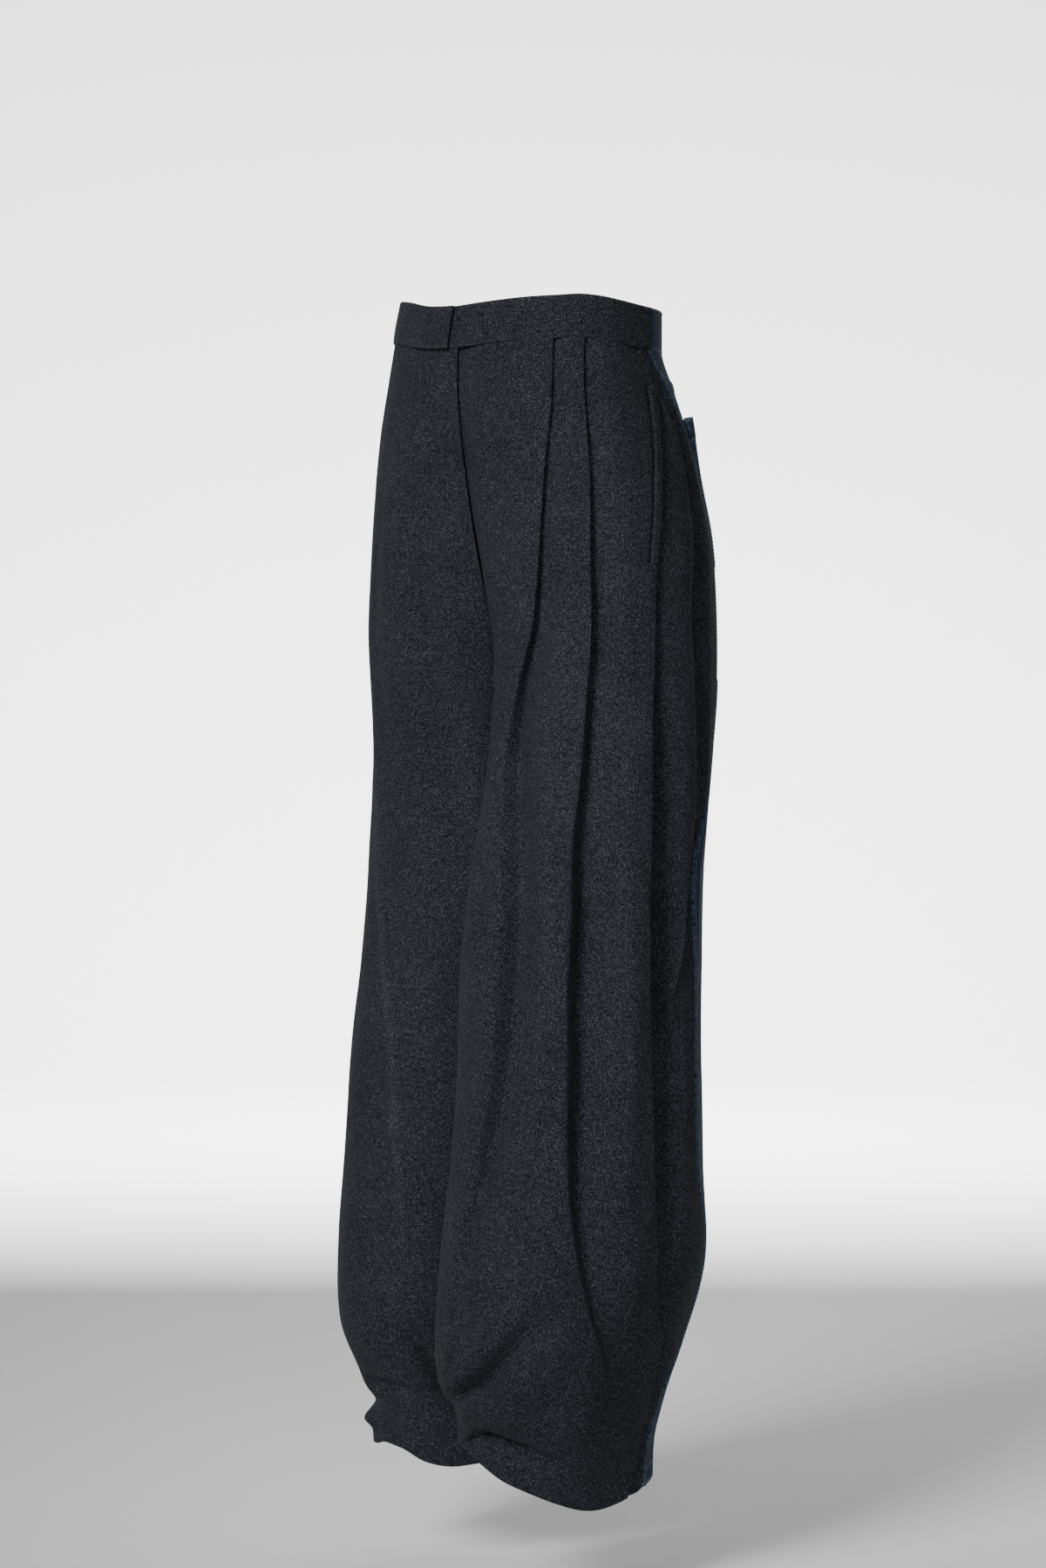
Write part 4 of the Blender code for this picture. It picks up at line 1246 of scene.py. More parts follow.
class Panels(HalfPiece):
    """The wool and denim panels of one half, from the waistband to the hem."""

    ROLL_STEPS = (0.0006, 0.0014, 0.0028)
    ROLL_DEPTH = 0.0011
    ROLL_REACH = 0.0030
    ROWS = PanelRows()

    def with_rolls(self, start: Array, end: Array, breaks: Sequence[Array], counts: Sequence[int]) -> Array:
        """Lays columns that are close at both edges, where the cloth rolls into its seams.

        Args:
            start: The first edge's turns.
            end: The last edge's turns.
            breaks: The breaks between them.
            counts: The columns in each stretch.

        Returns:
            An array of rows by columns.
        """
        first = [start] + [start + turn_of(step) for step in self.ROLL_STEPS]
        last = [end - turn_of(step) for step in reversed(self.ROLL_STEPS)] + [end]
        ones = [1] * len(self.ROLL_STEPS)
        return spread([*first, *breaks, *last], [*ones, *counts, *ones])

    def roll(self, distance: Array) -> Array:
        """How far the cloth rolls in at a distance from its seams."""
        return self.ROLL_DEPTH * (1 - smooth(0, self.ROLL_REACH, distance))

    def side_roll(self, turns: Array, start: Array, end: Array, after: Array) -> Array:
        """Finds how far the cloth rolls in beside its first and last edge, past a fold.

        Args:
            turns: The columns' turns.
            start: The first edge's turns.
            end: The last edge's turns.
            after: The turns past which it rolls.

        Returns:
            The depths.
        """
        near = np.minimum(turns - start[:, None], end[:, None] - turns)
        return self.roll(run_of(np.maximum(near, 0))) * (turns > after[:, None])

    def surface(self, turns: Array, level: Array, out: Array, sag: Array | float = 0.0) -> Array:
        """Finds the panel's points.

        Args:
            turns: The columns' turns.
            level: The rows' levels.
            out: How far the points move out.
            sag: How far they move down.

        Returns:
            The points.
        """
        points = self.shape.skin(turns, level, out)
        points[..., 2] -= sag
        return points

    def hemmed_weave(self, turns: Array, level: Array, inward: Array) -> Array:
        """The cloth's own coordinates, which run on round the hem's fold."""
        return self.weave(turns, level + 2 * (HEM - level) * (inward < -self.ROWS.fold_radius))


class WoolFront(Panels):
    """A pleated wool front; the right one laps over the left one down the fly."""

    COLUMNS_LEFT = (12, 22, 7, 18, 8, 25, 6, 5, 5)
    COLUMNS_RIGHT = (18, 18, 6, 12, 7, 15, 6, 5, 5)
    DENT_REACH = 0.0026
    PRESSED_CLEAR = (0.010, 0.004)
    PRESSED_HEIGHT = 0.0018
    # painted highlight: the cloth is paled along the pressed crease, as far as the crease stands up
    PRESSED_HIGHLIGHT = 0.12
    PRESSED_HIGHLIGHT_REACH = 0.0012
    LAP_OVER = 0.0055
    LAP_COLUMNS = 4
    LAP_FOOT = 0.05
    LAP_JOIN = 0.02
    LAP_RISE = 0.0004
    LAP_TURN = 0.0006
    CUT_LEFT = Cut(0.40, 1.05, 0.351)
    CUT_RIGHT = Cut(0.42, 1.05, 0.372)

    def build(self, rests_on: str) -> Piece:
        """Builds the front.

        Args:
            rests_on: The waistband that it hangs from.

        Returns:
            The piece.
        """
        shape, side = self.shape, self.shape.side
        level, inward, sag = self.ROWS.levels()
        folds = (INNER_PLEAT, OUTER_PLEAT, POCKET_FOLD)
        inner, outer, pocket = (shape.riser_ends(fold, level) for fold in folds)
        start, end = shape.middle_turn(level, at_back=False), pocket[1] - turn_of(HALF_GAP)
        lowest = start + turn_of(self.ROLL_STEPS[-1] + self.PRESSED_CLEAR[0])
        pressed = np.clip(shape.pressed_turn(level), lowest, inner[0] - turn_of(self.PRESSED_CLEAR[1]))
        strip = pocket[0] - turn_of(POCKET_EDGE_WIDTH)
        breaks = [pressed, *inner, *outer, strip - turn_of(self.DENT_REACH), strip, pocket[0]]
        turns = self.with_rolls(start, end, breaks, side.pick(self.COLUMNS_LEFT, self.COLUMNS_RIGHT))
        grid_level = np.repeat(level[:, None], turns.shape[1], axis=1)
        points = self.surface(turns, grid_level, inward - self.side_roll(turns, start, end, pressed), sag)
        weave = self.hemmed_weave(turns, grid_level, inward)
        pressed_turn, height = shape.pressed.at(grid_level)
        # painted highlight along the pressed crease, stronger where its ridge is higher
        wear = self.PRESSED_HIGHLIGHT * height / self.PRESSED_HEIGHT
        wear = wear * bell(run_of(turns - pressed_turn), self.PRESSED_HIGHLIGHT_REACH)
        grids = (points, weave, wear)
        if side is Side.RIGHT:
            grids = self.with_lap(grids, level, inward, sag)
        return self.sew(("wool_front", "front"), grids, side.pick(self.CUT_LEFT, self.CUT_RIGHT), rests_on)

    def with_lap(
        self, grids: tuple[Array, Array, Array], level: Array, inward: Array, sag: Array
    ) -> tuple[Array, Array, Array]:
        """Adds the columns that lap over the left front.

        Args:
            grids: The front's points, its own coordinates, and its wear with the painted highlight of its
                pressed crease.
            level: The rows' levels.
            inward: How far each row moves in.
            sag: How far each row moves down.

        Returns:
            The three grids with the lap's columns before them.
        """
        points, weave, wear = grids
        left = Shape(Side.LEFT, lap_drop=0.0)
        width = self.LAP_OVER * smooth(CROTCH_TOP, CROTCH_TOP + self.LAP_FOOT, level)[:, None]
        shares = np.arange(self.LAP_COLUMNS, 0, -1) / self.LAP_COLUMNS
        turns = left.middle_turn(level, at_back=False)[:, None] + turn_of(width * shares)
        lies = inward + self.LAP_RISE * (1 - shares) - self.LAP_TURN * shares**4
        lap = left.skin(turns, level[:, None], lies)
        lap[..., 2] -= sag
        joined = smooth(CROTCH_TOP, CROTCH_TOP + self.LAP_JOIN, level)[:, None, None]
        lap = lap * joined + points[:, :1] * (1 - joined)
        down = np.repeat(weave[:, :1, 1], self.LAP_COLUMNS, axis=1)
        lap_weave = np.stack([weave[:, :1, 0] + width * shares, down], axis=-1)
        lap_wear_and_highlight = np.repeat(wear[:, :1], self.LAP_COLUMNS, axis=1)
        pairs = ((lap, points), (lap_weave, weave), (lap_wear_and_highlight, wear))
        return tuple(np.concatenate(pair, axis=1) for pair in pairs)


class WoolSide(Panels):
    """The wool panel from the pocket's edge round to the denim."""

    COLUMNS = (12, 7, 14)
    FOLD_CLEAR = 0.0005
    FOLD_LEAST = 0.0004
    FOLD_DEPTH = 0.012
    # painted highlight: the crest of the fold behind the pocket is paled, more where the fold is deeper
    FOLD_HIGHLIGHT = 0.16
    FOLD_HIGHLIGHT_REACH = 0.0015
    CUT_LEFT = Cut(0.125, 1.03, 0.092)
    CUT_RIGHT = Cut(0.105, 1.03, 0.067)

    def build(self, rests_on: str) -> Piece:
        """Builds the side.

        Args:
            rests_on: The waistband that it hangs from.

        Returns:
            The piece.
        """
        shape, side = self.shape, self.shape.side
        level, inward, sag = self.ROWS.levels()
        start = shape.riser_ends(POCKET_FOLD, level)[1] + turn_of(HALF_GAP)
        end = shape.side_seam_turn(level) - turn_of(HALF_GAP)
        clear, least = turn_of(self.ROLL_STEPS[-1] + self.FOLD_CLEAR), turn_of(self.FOLD_LEAST)
        fold_start, fold_end = shape.riser_ends(SIDE_FOLD, level)
        fold_start = np.clip(fold_start, start + clear, end - clear)
        fold_end = np.clip(fold_end, fold_start + least, end - clear + least)
        turns = self.with_rolls(start, end, [fold_start, fold_end], self.COLUMNS)
        grid_level = np.repeat(level[:, None], turns.shape[1], axis=1)
        points = self.surface(turns, grid_level, inward - self.side_roll(turns, start, end, fold_start), sag)
        # painted highlight along the crest where the fold behind the pocket starts to drop
        drop = shape.folds[SIDE_FOLD].at(grid_level)[1] / self.FOLD_DEPTH
        wear = self.FOLD_HIGHLIGHT * drop * bell(run_of(turns - fold_start[:, None]), self.FOLD_HIGHLIGHT_REACH)
        grids = (points, self.hemmed_weave(turns, grid_level, inward), wear)
        return self.sew(("wool_side", "side"), grids, side.pick(self.CUT_LEFT, self.CUT_RIGHT), rests_on)


class DenimBack(Panels):
    """A denim back below the yoke, with a felled seam down its middle edge."""

    COLUMNS = (14, 62, 8)
    EDGE_REACH = (0.016, 0.012)
    FELL_WIDTH = 0.0095
    FELL_HEIGHT = 0.0009
    FELL_EDGE = 0.0012
    LEAST_ROW = 0.0012
    SEAM_RUB = Rub(0.55, 0.0, 0.0035)
    FELL_RUB = Rub(0.35, FELL_WIDTH, 0.0016)
    HEM_RUB = Rub(0.8, 0.0, 0.0030)
    HEM_STITCH_RUB = Rub(0.3, 0.015, 0.0020)
    CUT = Cut(0.36, 1.01, 0.252)

    def build(self, rests_on: str) -> Piece:
        """Builds the back.

        Args:
            rests_on: The yoke that it hangs from.

        Returns:
            The piece.
        """
        side = self.shape.side
        level, inward, sag = self.ROWS.levels()
        first_row = int(np.searchsorted(-level[: self.ROWS.upper], -YOKE_SIDE)) - 1
        level, inward, sag = level[first_row:].copy(), inward[first_row:], sag[first_row:]
        level[0] = YOKE_SIDE
        seam = yoke_level(self.columns_at(np.full(1, YOKE_SIDE))[0]) - HALF_GAP
        least = self.LEAST_ROW * np.arange(len(level))[:, None]
        grid_level = np.maximum(np.minimum(level[:, None], seam - least), HEM)
        grid_level = np.where(inward < 0, level[:, None], grid_level)
        turns, from_side, from_middle = self.laid(grid_level)
        under_yoke = seam - grid_level
        near = np.minimum(np.minimum(from_side, from_middle), under_yoke)
        fell = np.minimum(from_middle if side is Side.LEFT else 1.0, under_yoke)
        fell = np.where(grid_level < CROTCH_BOTTOM, np.minimum(fell, from_side), fell)
        points = self.surface(turns, grid_level, inward - self.roll(near) + self.felled(fell), sag)
        points[grid_level[:, -1] > CROTCH_TOP, -1, 0] = side.value * HALF_GAP
        hem = np.where(inward < 0, 0.0, grid_level - HEM)
        wear = self.SEAM_RUB.at(near) + self.FELL_RUB.at(fell)
        wear = np.clip(wear + self.HEM_RUB.at(hem) + self.HEM_STITCH_RUB.at(hem), 0, 1)
        grids = (points, self.hemmed_weave(turns, grid_level, inward), wear)
        return self.sew(("denim_back", "back"), grids, self.CUT, rests_on)

    def felled(self, distance: Array) -> Array:
        """How far the two layers of a felled seam stand out at a distance from it."""
        return self.FELL_HEIGHT * (1 - smooth(self.FELL_WIDTH - self.FELL_EDGE, self.FELL_WIDTH, distance))

    def columns_at(self, level: Array) -> Array:
        """Lays the back's columns, close at both seams.

        Args:
            level: The rows' levels.

        Returns:
            The turns, rows by columns.
        """
        start = self.shape.side_seam_turn(level) + turn_of(HALF_GAP)
        end = self.shape.middle_turn(level, at_back=True)
        breaks = [start + turn_of(self.EDGE_REACH[0]), end - turn_of(self.EDGE_REACH[1])]
        return self.with_rolls(start, end, breaks, self.COLUMNS)

    def laid(self, grid_level: Array) -> tuple[Array, Array, Array]:
        """Lays the columns over rows that aren't level.

        Args:
            grid_level: The levels, rows by columns.

        Returns:
            The turns, and the distances from the side seam and from the middle.
        """
        every = self.columns_at(grid_level.ravel()).reshape(*grid_level.shape, -1)
        own = np.arange(grid_level.shape[1])[None, :, None]
        turns = np.take_along_axis(every, own, axis=2)[..., 0]
        start = self.shape.side_seam_turn(grid_level) + turn_of(HALF_GAP)
        end = self.shape.middle_turn(grid_level, at_back=True)
        return turns, run_of(turns - start), run_of(end - turns)


class DenimYoke(DenimBack):
    """The shaped denim strip between the waistband and the back."""

    EDGE_ROWS = (0.0, 0.02, 0.05)
    INNER_ENDS = (0.1, 0.9)
    INNER_ROWS = 14
    CUT = Cut(0.17, 0.055, 0.0068)

    def build(self, rests_on: str) -> Piece:
        """Builds the yoke.

        Args:
            rests_on: The waistband that it hangs from.

        Returns:
            The piece.
        """
        bottom = yoke_level(self.columns_at(np.full(1, YOKE_SIDE))[0]) + HALF_GAP
        edge = np.array(self.EDGE_ROWS)
        shares = np.concatenate([edge, np.linspace(*self.INNER_ENDS, self.INNER_ROWS), 1 - edge[::-1]])
        grid_level = PANEL_TOP + (bottom - PANEL_TOP) * shares[:, None]
        turns, from_side, from_middle = self.laid(grid_level)
        near = np.minimum(np.minimum(from_side, from_middle), grid_level - bottom)
        fell = from_middle if self.shape.side is Side.LEFT else np.ones_like(turns)
        points = self.surface(turns, grid_level, self.felled(fell) - self.roll(near))
        wear = self.SEAM_RUB.at(near)
        weave = self.weave(turns, grid_level)[..., ::-1].copy()
        return self.sew(("denim_yoke", "yoke"), (points, weave, wear), self.CUT, rests_on)


class PocketStrip(HalfPiece):
    """The folded and stitched edge of a side pocket."""

    ROWS = 60
    PROFILE = (0.0, 0.10, 0.22, 0.40, 0.60, 0.78, 0.90, 1.0)
    END_REACH = 0.002
    LOW = 0.35
    WALL_SHARE = 0.8
    CUT = Cut(0.010, 0.169, 0.0015)

    def build(self, rests_on: str) -> Piece:
        """Builds the strip.

        Args:
            rests_on: The front that it lies on.

        Returns:
            The piece.
        """
        level = np.linspace(POCKET_EDGE_TOP, POCKET_EDGE_BOTTOM, self.ROWS + 1)[:, None]
        across = np.array(self.PROFILE)
        turns = self.shape.riser_ends(POCKET_FOLD, level)[0] - turn_of(POCKET_EDGE_WIDTH) * (1 - across)
        crown = np.sqrt(np.clip(1 - (2 * across - 1) ** 4, 0, 1))
        rise = np.minimum(1.0, np.minimum(level - level[-1], level[0] - level) / self.END_REACH)
        out = SEAM_GAP + PATCH_WALL * (self.LOW + (1 - self.LOW) * crown * np.sqrt(rise))
        weave = self.weave(turns, np.repeat(level, len(across), axis=1))
        grids = (self.shape.skin(turns, level, out), weave, np.zeros_like(turns))
        names = ("wool_pocket_edge", "pocket_edge")
        return self.sew(names, grids, self.CUT, rests_on, Hold.FOLDED, PATCH_WALL * self.WALL_SHARE)


class PatchPocket(HalfPiece):
    """A patch pocket on the back, pointed at its foot, whose hemmed top stands off the cloth."""

    COLUMNS = 44
    ROWS = 46
    MEAN_WIDTH = 0.12
    HEIGHT = POCKET_TOP - POCKET_BOTTOM
    POINT = 0.016
    GAPE = 0.008
    GAPE_SHAPE = 0.55
    TOP_HEM = 0.020
    HEM_HEIGHT = 0.0005
    HEM_EDGE = 0.001
    COLUMN_EASE = 0.10
    ROW_EASE = 1.04
    PUFF = 0.0005
    PUFF_REACH = 0.006
    ROLL = 0.0007
    ROLL_REACH = 0.002
    EDGE_RUB = Rub(0.75, 0.0, 0.0028)
    TOP_RUB = Rub(0.85, 0.0, 0.0030)
    TOP_STITCH_RUB = Rub(0.30, TOP_HEM, 0.0018)
    CUT = Cut(0.11, 0.156, 0.0146)

    def place(self, across: Array, down: Array) -> tuple[Array, Array, Array]:
        """Finds where a share across and down the pocket lies.

        Args:
            across: From the outer side to the inner one.
            down: From the top to the foot.

        Returns:
            The turns, the levels, and how far the pocket stands off.
        """
        point = self.POINT * (1 - np.abs(2 * across - 1))
        level = POCKET_TOP - (self.HEIGHT + point) * down
        left_outer, right_outer, inner_edge = Track(POCKET_SIDES, 1, 2, 3).at(level)
        outer_edge = self.shape.side.pick(left_outer, right_outer)
        gape = self.GAPE * (1 - down) ** 3 * np.sin(np.pi * across**self.GAPE_SHAPE)
        return outer_edge + (inner_edge - outer_edge) * across, level, SEAM_GAP + gape + PATCH_WALL

    def build(self, rests_on: str) -> Piece:
        """Builds the pocket.

        Args:
            rests_on: The back that it lies on.

        Returns:
            The piece.
        """
        shares = np.linspace(0, 1, self.COLUMNS + 1)
        eased = shares - self.COLUMN_EASE * np.sin(2 * np.pi * shares) / (2 * np.pi)
        across, down = np.meshgrid(eased, np.linspace(0, 1, self.ROWS + 1) ** self.ROW_EASE)
        turns, level, out = self.place(across, down)
        near = np.minimum(np.minimum(across, 1 - across) * self.MEAN_WIDTH, (1 - down) * self.HEIGHT)
        from_top = down * self.HEIGHT
        puff = self.PUFF * smooth(0.0, self.PUFF_REACH, near)
        puff -= self.ROLL * (1 - smooth(0, self.ROLL_REACH, near))
        hem = self.HEM_HEIGHT * (1 - smooth(self.TOP_HEM - self.HEM_EDGE, self.TOP_HEM, from_top))
        wear = self.EDGE_RUB.at(near) + self.TOP_RUB.at(from_top) + self.TOP_STITCH_RUB.at(from_top)
        wear = np.clip(wear, 0, 1)
        grids = (self.shape.skin(turns, level, out + puff + hem), self.weave(turns, level), wear)
        return self.sew(("denim_pocket", "back_pocket"), grids, self.CUT, rests_on, Hold.LAID, PATCH_WALL)


class BandStretch(NamedTuple):
    """One stretch of the waistband, by its signed turns round the waist."""

    name: str
    node: str
    start: float
    end: float
    columns: int
    laps: bool
    cut: Cut


class Waistband(ClothPiece):
    """The waistband: a folded strip in two wool fronts, the right one over the left one, and a denim back."""

    FACE_ROWS = 12
    FOLD_ROWS = 4
    END_STEPS = (0.0, 0.0004, 0.0010, 0.0020)
    END_SHARE = 0.08
    LAP_CLEAR = 0.0003
    LIP = 0.0016
    LIP_RAMP = (-0.0066, -0.0036)
    GROOVE = 0.0010
    GROOVE_PLACE = -0.0072
    GROOVE_REACH = 0.0016
    EDGE_REACH = 0.0022
    FOOT_WEAR = 0.6
    WOOL_WEAR = 0.10
    DENIM_WEAR = 0.65

    def point(self, around: Array, level: Array, out: Array) -> Array:
        """Finds points of the band.

        Args:
            around: Signed turns round the whole waist, positive on the wearer's left.
            level: The levels.
            out: How far the points move out.

        Returns:
            The points.
        """
        on_left = (around >= 0) & (around <= 180)
        turn = np.where(around > 180, 360 - around, np.abs(around))
        side = np.where(on_left, 1.0, -1.0)
        _centre, half_width, front, back, centre_y, _right_y = Track(SECTIONS).at(level)
        across, along = Shape.power(np.sin(np.radians(turn))), Shape.power(np.cos(np.radians(turn)))
        reach = np.where(along > 0, front, back)
        outward = np.stack([side * across / half_width, -along / reach], axis=-1)
        outward /= np.linalg.norm(outward, axis=-1, keepdims=True)
        left_rise, right_rise = (edge_rise(WAIST_RISE, half, turn) for half in Side)
        x = side * half_width * across + outward[..., 0] * out
        y = centre_y - reach * along + outward[..., 1] * out
        return np.stack([x, y, level + np.where(on_left, left_rise, right_rise)], axis=-1)

    def profile(self) -> tuple[Array, Array]:
        """Works out the band's cross-section: up its face, over the top, down behind and round to the start.

        Returns:
            The levels, and how far out each lies from the wall's middle.
        """
        half = BAND_WALL / 2
        face = np.linspace(-BAND_HEIGHT + half, -half, self.FACE_ROWS + 1)
        bend = np.linspace(0, math.pi, self.FOLD_ROWS + 1)[1:-1]
        round_top, round_foot = -half + half * np.sin(bend), -BAND_HEIGHT + half - half * np.sin(bend)
        levels = np.concatenate([face, round_top, face[::-1], round_foot])
        wall = np.full(len(face), half)
        outs = np.concatenate([wall, half * np.cos(bend), -wall, -half * np.cos(bend)])
        return np.append(levels, levels[0]), np.append(outs, outs[0])

    def lift(self, around: Array) -> Array:
        """Works out how far the right front's end rises over the left one, with its stitched groove.

        Args:
            around: The signed turns.

        Returns:
            The heights.
        """
        along = np.radians(around) * WAIST_HALF_WIDTH
        over = (BAND_WALL + self.LAP_CLEAR) * smooth(-LAP_LENGTH - LAP_RAMP, -LAP_LENGTH, along)
        groove = self.GROOVE * bell(along - self.GROOVE_PLACE, self.GROOVE_REACH)
        return over + self.LIP * smooth(*self.LIP_RAMP, along) - groove

    def build(self, stretch: BandStretch) -> Piece:
        """Builds one stretch.

        Args:
            stretch: The stretch.

        Returns:
            The piece.
        """
        levels, outs = self.profile()
        inner = np.linspace(stretch.start, stretch.end, stretch.columns + 1)
        ends = np.degrees(np.array(self.END_STEPS) / WAIST_HALF_WIDTH)
        clear = ends[-1] * 1.5
        inner = inner[(inner > stretch.start + clear) & (inner < stretch.end - clear)]
        around = np.concatenate([stretch.start + ends, inner, (stretch.end - ends)[::-1]])
        from_end = np.radians(np.minimum(around - stretch.start, stretch.end - around)) * WAIST_HALF_WIDTH
        round_end = np.sqrt(np.clip(1 - (1 - np.clip(from_end / (BAND_WALL / 2), 0, 1)) ** 2, 0.0, 1))
        middle = BAND_PROUD - BAND_WALL / 2 + (self.lift(around) if stretch.laps else 0.0)
        grid_around, grid_level = np.meshgrid(around, levels)
        shrink = outs[:, None] * (self.END_SHARE + (1 - self.END_SHARE) * round_end)
        points = self.point(grid_around, grid_level, middle + shrink)
        run = np.cumsum(np.concatenate([[0], np.hypot(np.diff(levels), np.diff(outs))]))[:, None]
        weave = np.stack([np.radians(grid_around) * WAIST_HALF_WIDTH, np.repeat(run, len(around), 1)], -1)
        wear = bell(grid_level, self.EDGE_REACH)
        wear = wear + self.FOOT_WEAR * bell(grid_level + BAND_HEIGHT, self.EDGE_REACH)
        if self.slot is Slot.DENIM:
            weave, wear = weave[..., ::-1].copy(), wear * self.DENIM_WEAR
        else:
            wear = wear * self.WOOL_WEAR
        piece = grid_mesh(stretch.name, points, weave, wear, inside_out=True)
        self.close(piece)
        return self.dress(piece, stretch.node, stretch.cut, Hold.FOLDED, [], 0.0)

    @staticmethod
    def close(piece: Piece) -> None:
        """Joins the band's first and last rows and fills its two ends.

        Args:
            piece: The band as a rolled grid.
        """
        shape = bmesh.new()
        shape.from_mesh(piece.data)
        bmesh.ops.remove_doubles(shape, verts=shape.verts[:], dist=0.00002)
        ends = [edge for edge in shape.edges if edge.is_boundary]
        bmesh.ops.holes_fill(shape, edges=ends, sides=0)
        bmesh.ops.triangulate(shape, faces=[face for face in shape.faces if len(face.verts) > 4])
        bmesh.ops.recalc_face_normals(shape, faces=shape.faces[:])
        shape.to_mesh(piece.data)
        shape.free()


# ---------------------------------------------------------------- stitching
class Topstitching:
    """Rows of raised stitches in one thread, joined in one mesh."""

    LENGTH = 0.0029
    PITCH = 0.0037
    WIDTH = 0.00062
    HEIGHT = 0.00050
    BOW = 0.00022
    SUNK = 0.00008
    BOWED = 0.9
    BLUNT = 0.8
    SEGMENTS = 6
    RINGS = 5
    SIGHT = 0.001

    def __init__(self, name: str, slot: Slot, finish: bpy.types.Material) -> None:
        """Starts with no rows.

        Args:
            name: The piece's name.
            slot: The record's slot.
            finish: The thread's material.
        """
        self.name, self.slot, self.finish = name, slot, finish
        self.centres: list[Array] = []
        self.axes: list[Array] = []

    def add(self, points: Array, outward: Array) -> None:
        """Sews one row.

        Args:
            points: The points of its line.
            outward: The cloth's outward directions there.
        """
        run = np.concatenate([[0], np.cumsum(np.linalg.norm(np.diff(points, axis=0), axis=1))])
        count = int(run[-1] / self.PITCH)
        if count < 1:
            return
        middles = (np.arange(count) + 0.5) * run[-1] / count

        def along(places: Array, values: Array) -> Array:
            """Values between those along the row's line."""
            return np.stack([np.interp(places, run, column) for column in values.T], axis=1)

        forward = along(middles + self.SIGHT, points) - along(middles - self.SIGHT, points)
        forward /= np.maximum(np.linalg.norm(forward, axis=1, keepdims=True), 1e-9)
        up = along(middles, outward)
        up -= (up * forward).sum(1, keepdims=True) * forward
        up /= np.maximum(np.linalg.norm(up, axis=1, keepdims=True), 1e-9)
        self.centres.append(along(middles, points))
        self.axes.append(np.stack([forward, np.cross(up, forward), up], axis=1))

    def stitch(self) -> tuple[bpy.types.Mesh, Array]:
        """Makes one stitch, a bowed and pointed bead.

        Returns:
            Its mesh, and where its points lie.
        """
        shape = bmesh.new()
        bmesh.ops.create_uvsphere(shape, u_segments=self.SEGMENTS, v_segments=self.RINGS, radius=1.0)
        bmesh.ops.rotate(shape, verts=shape.verts[:], matrix=Matrix.Rotation(math.pi / 2, 3, "Y"))
        mesh = bpy.data.meshes.new("one_stitch")
        shape.to_mesh(mesh)
        shape.free()
        local = np.zeros(len(mesh.vertices) * 3)
        mesh.vertices.foreach_get("co", local)
        local = local.reshape(-1, 3)
        bow = 1 - self.BOWED * local[:, 0] ** 2
        half = np.array([self.LENGTH, self.WIDTH, self.HEIGHT]) / 2
        local = np.sign(local) * np.abs(local) ** self.BLUNT * half
        local[:, 2] += self.BOW * bow - self.SUNK
        return mesh, local

    def build(self) -> Piece:
        """Joins all stitches in one piece.

        Returns:
            The piece.
        """
        template, local = self.stitch()
        centres, axes = np.concatenate(self.centres), np.concatenate(self.axes)
        joined = bmesh.new()
        for _ in centres:
            joined.from_mesh(template)
        mesh = bpy.data.meshes.new(self.name)
        joined.to_mesh(mesh)
        joined.free()
        bpy.data.meshes.remove(template)
        points = np.einsum("vk,nkd->nvd", local, axes) + centres[:, None, :]
        mesh.vertices.foreach_set("co", points.ravel())
        mesh.shade_smooth()
        mesh.update()
        mesh.materials.append(self.finish)
        piece = placed(self.name, mesh)
        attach(piece, "root")
        LOG.info("%s has %d stitches", self.name, len(centres))
        return piece


